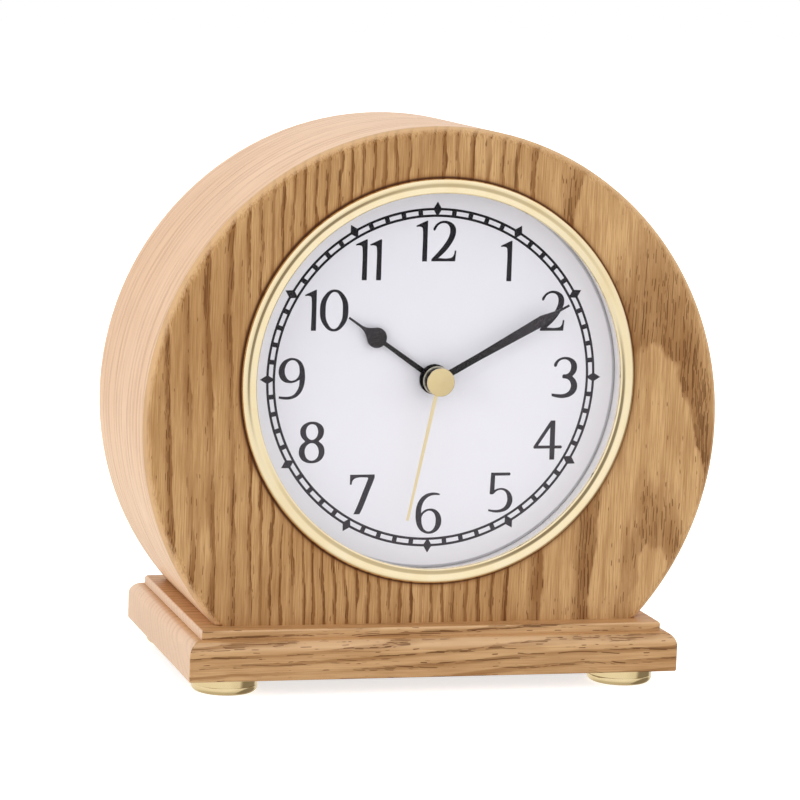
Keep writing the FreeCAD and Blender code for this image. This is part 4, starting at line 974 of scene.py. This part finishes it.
plinthShape = {"width": 143.0, "depth": 88.5, "low": 5.0, "board": 16.2, "top": 18.7, "ovolo": 3.8, "inset": 4.0,
               "ledge": 0.02, "stepRound": 0.7, "cornerRound": 0.5, "cornerGrowth": 0.08, "footRound": 0.4,
               "screwX": 36.0, "screwY": 16.0, "bore": 3.75, "boreLow": 1.5, "boreTop": 12.5}


def roundedLoop(shape, inset, level, corner, steps=5):
    halfX = plinthShape["width"] / 2 - inset
    halfY = plinthShape["depth"] / 2 - inset
    ring = []
    for sx, sy, start in ((1, 1, 0), (-1, 1, 90), (-1, -1, 180), (1, -1, 270)):
        for k in range(steps + 1):
            angle = math.radians(start + 90 * k / steps)
            x = sx * (halfX - corner) + corner * math.cos(angle)
            y = sy * (halfY - corner) + corner * math.sin(angle)
            ring.append(shape.verts.new((x * mm, y * mm, level * mm)))
    return ring


def mouldedPlinth(wood):
    p = plinthShape
    levels = [(p["footRound"], p["low"])]
    levels += [(p["footRound"] - y, x) for x, y in
               arcPoints((p["low"] + p["footRound"], 0.0), p["footRound"], 180, 90, 3)[1:]]
    levels += arcPoints((p["ovolo"], p["board"] - p["ovolo"]), p["ovolo"], 180, 90, 12)
    levels += [(p["inset"], p["board"] + p["ledge"])]
    levels += [(p["inset"] + x, z) for x, z in
               arcPoints((p["stepRound"], p["top"] - p["stepRound"]), p["stepRound"], 180, 90, 4)]
    shape = bmesh.new()
    rings = [roundedLoop(shape, inset, level, p["cornerRound"] + max(0.0, inset) * p["cornerGrowth"])
             for inset, level in levels]
    for below, above in zip(rings, rings[1:]):
        wallBetween(shape, below, above)
    shape.faces.new(list(reversed(rings[0])))
    shape.faces.new(rings[-1])
    thing = fromShape("mouldedPlinth", shape)
    bores = bmesh.new()
    for sx in (-1, 1):
        for sy in (-1, 1):
            spot = (sx * p["screwX"] * mm, sy * p["screwY"] * mm, (p["boreLow"] + p["boreTop"]) / 2 * mm)
            bmesh.ops.create_cone(bores, cap_ends=True, segments=48, radius1=p["bore"] * mm, radius2=p["bore"] * mm,
                                  depth=(p["boreTop"] - p["boreLow"]) * mm, matrix=Matrix.Translation(spot))
    cutter = fromShape("bores", bores)
    cut = thing.modifiers.new("bores", "BOOLEAN")
    cut.operation = "DIFFERENCE"
    cut.object = cutter
    cut.solver = "EXACT"
    thing = frozen(thing)
    bpy.data.objects.remove(cutter)
    return finishOn(smoothed(thing, 40), wood, "clock_case", "oak_plinth", "plinth")


# ---- everything together

def buildClock():
    front = oak("frontOak", frontOak, uprightGrain)
    side = oak("sideOakPaintedLight", sideOakPaintedLight, hoopGrain)
    plinth = oak("plinthOak", plinthOak, levelGrain)
    print("oak mixed")
    ringBrass = turnedBrass("ringBrass", (rgb(253, 237, 200), rgb(250, 226, 180)), 0.12, dialAxis, "Y", 0.0004)
    capBrass = turnedBrass("capBrass", (rgb(234, 213, 166), rgb(222, 198, 149)), 0.14, dialAxis, "Y", 0.02)
    footTones = rgb(238, 217, 172), rgb(228, 200, 146)
    ink = dialInk()
    black = handLacquer()
    gilt = satinMetal("giltHand", rgb(252, 233, 190), 0.30)
    steel = satinMetal("zincSteel", rgb(196, 194, 188), 0.30)
    nylon = moulded("naturalNylon", rgb(228, 224, 212), 0.42)
    blackCase = moulded("blackCase", rgb(34, 34, 36), 0.48, 0.03, 0.15)
    whiteCup = moulded("cupWhite", rgb(236, 232, 232), 0.38, 0.01, 0.05)
    rubber = moulded("gasketBlack", rgb(60, 60, 64), 0.7)
    fibre = pressedBoard()

    for node, material in (("front_board", front), ("case_hoop", side), ("rear_board", fibre), ("floor_board", fibre)):
        dressed(node, material)
    mouldedPlinth(plinth)
    print("case and plinth built")

    bezelRing(ringBrass)
    handCap(capBrass)
    footPieces(lambda centre: turnedBrass("footBrass", footTones, 0.1, centre, "Z", 0.0006))
    dressed("glass", clearGlass(), name="domedGlass")
    dressed("glass_gasket", rubber)
    dressed("dial_cup", whiteCup)
    dressed("dial_plate", paintedDial())
    hourFigures(ink)
    minuteTrack(ink)
    print("dial insert built")

    for node, material, edge in (("hour_hand", black, 0.06), ("minute_hand", black, 0.06), ("second_hand", gilt, 0.04)):
        dressed(node, material, edge)
    print("hands built")

    blackNodes = ("movement_front_case", "movement_rear_case", "setting_knob")
    nylonNodes = ("movement_middle_plate", "coil_bobbin", "second_wheel", "third_wheel", "centre_wheel",
                  "intermediate_wheel", "motion_wheel", "hour_wheel")
    steelNodes = ("battery_contact_negative", "battery_contact_positive", "plinth_screws", "foot_screws", "cup_screws")
    finishes = {**dict.fromkeys(blackNodes, blackCase), **dict.fromkeys(nylonNodes, nylon),
                "rotor": moulded("ferrite", rgb(70, 70, 74), 0.5), "minute_pipe": capBrass,
                "stator_plate": steel, "coil_core": steel, "coil_winding": windings(),
                "circuit_board": greenBoard(), "quartz_crystal": satinMetal("crystalCan", rgb(214, 214, 218), 0.22),
                "chip_blob": moulded("pottingBlack", rgb(26, 26, 28), 0.2), "battery": wrapPrint(),
                **dict.fromkeys(steelNodes, steel)}
    for node, material in finishes.items():
        dressed(node, material)
    crossScrews(steel)
    # the raised marks are the case's black plastic, painted grey as a painted sheen
    raisedMarks(moulded("markPaintedSheen", rgb(92, 92, 96), 0.32, 0.01))
    caseRibs(blackCase)
    print("movement dressed")


def setStudio():
    reach = studio["floorReach"]
    floorMesh = bpy.data.meshes.new("floor")
    floorMesh.from_pydata([(-reach, -reach, 0), (reach, -reach, 0), (reach, reach, 0), (-reach, reach, 0)], [],
                          [(0, 1, 2, 3)])
    floor = newObject("floor", floorMesh)
    floor.data.materials.append(floorFinish())
    floor.visible_glossy = False
    for name, lamp in lamps.items():
        softLamp(name, lamp["place"], lamp["size"], lamp["power"])
    bpy.context.scene.view_settings.view_transform = "Standard"
    print("studio set")


placeCamera()
worldLight()
buildClock()
setStudio()
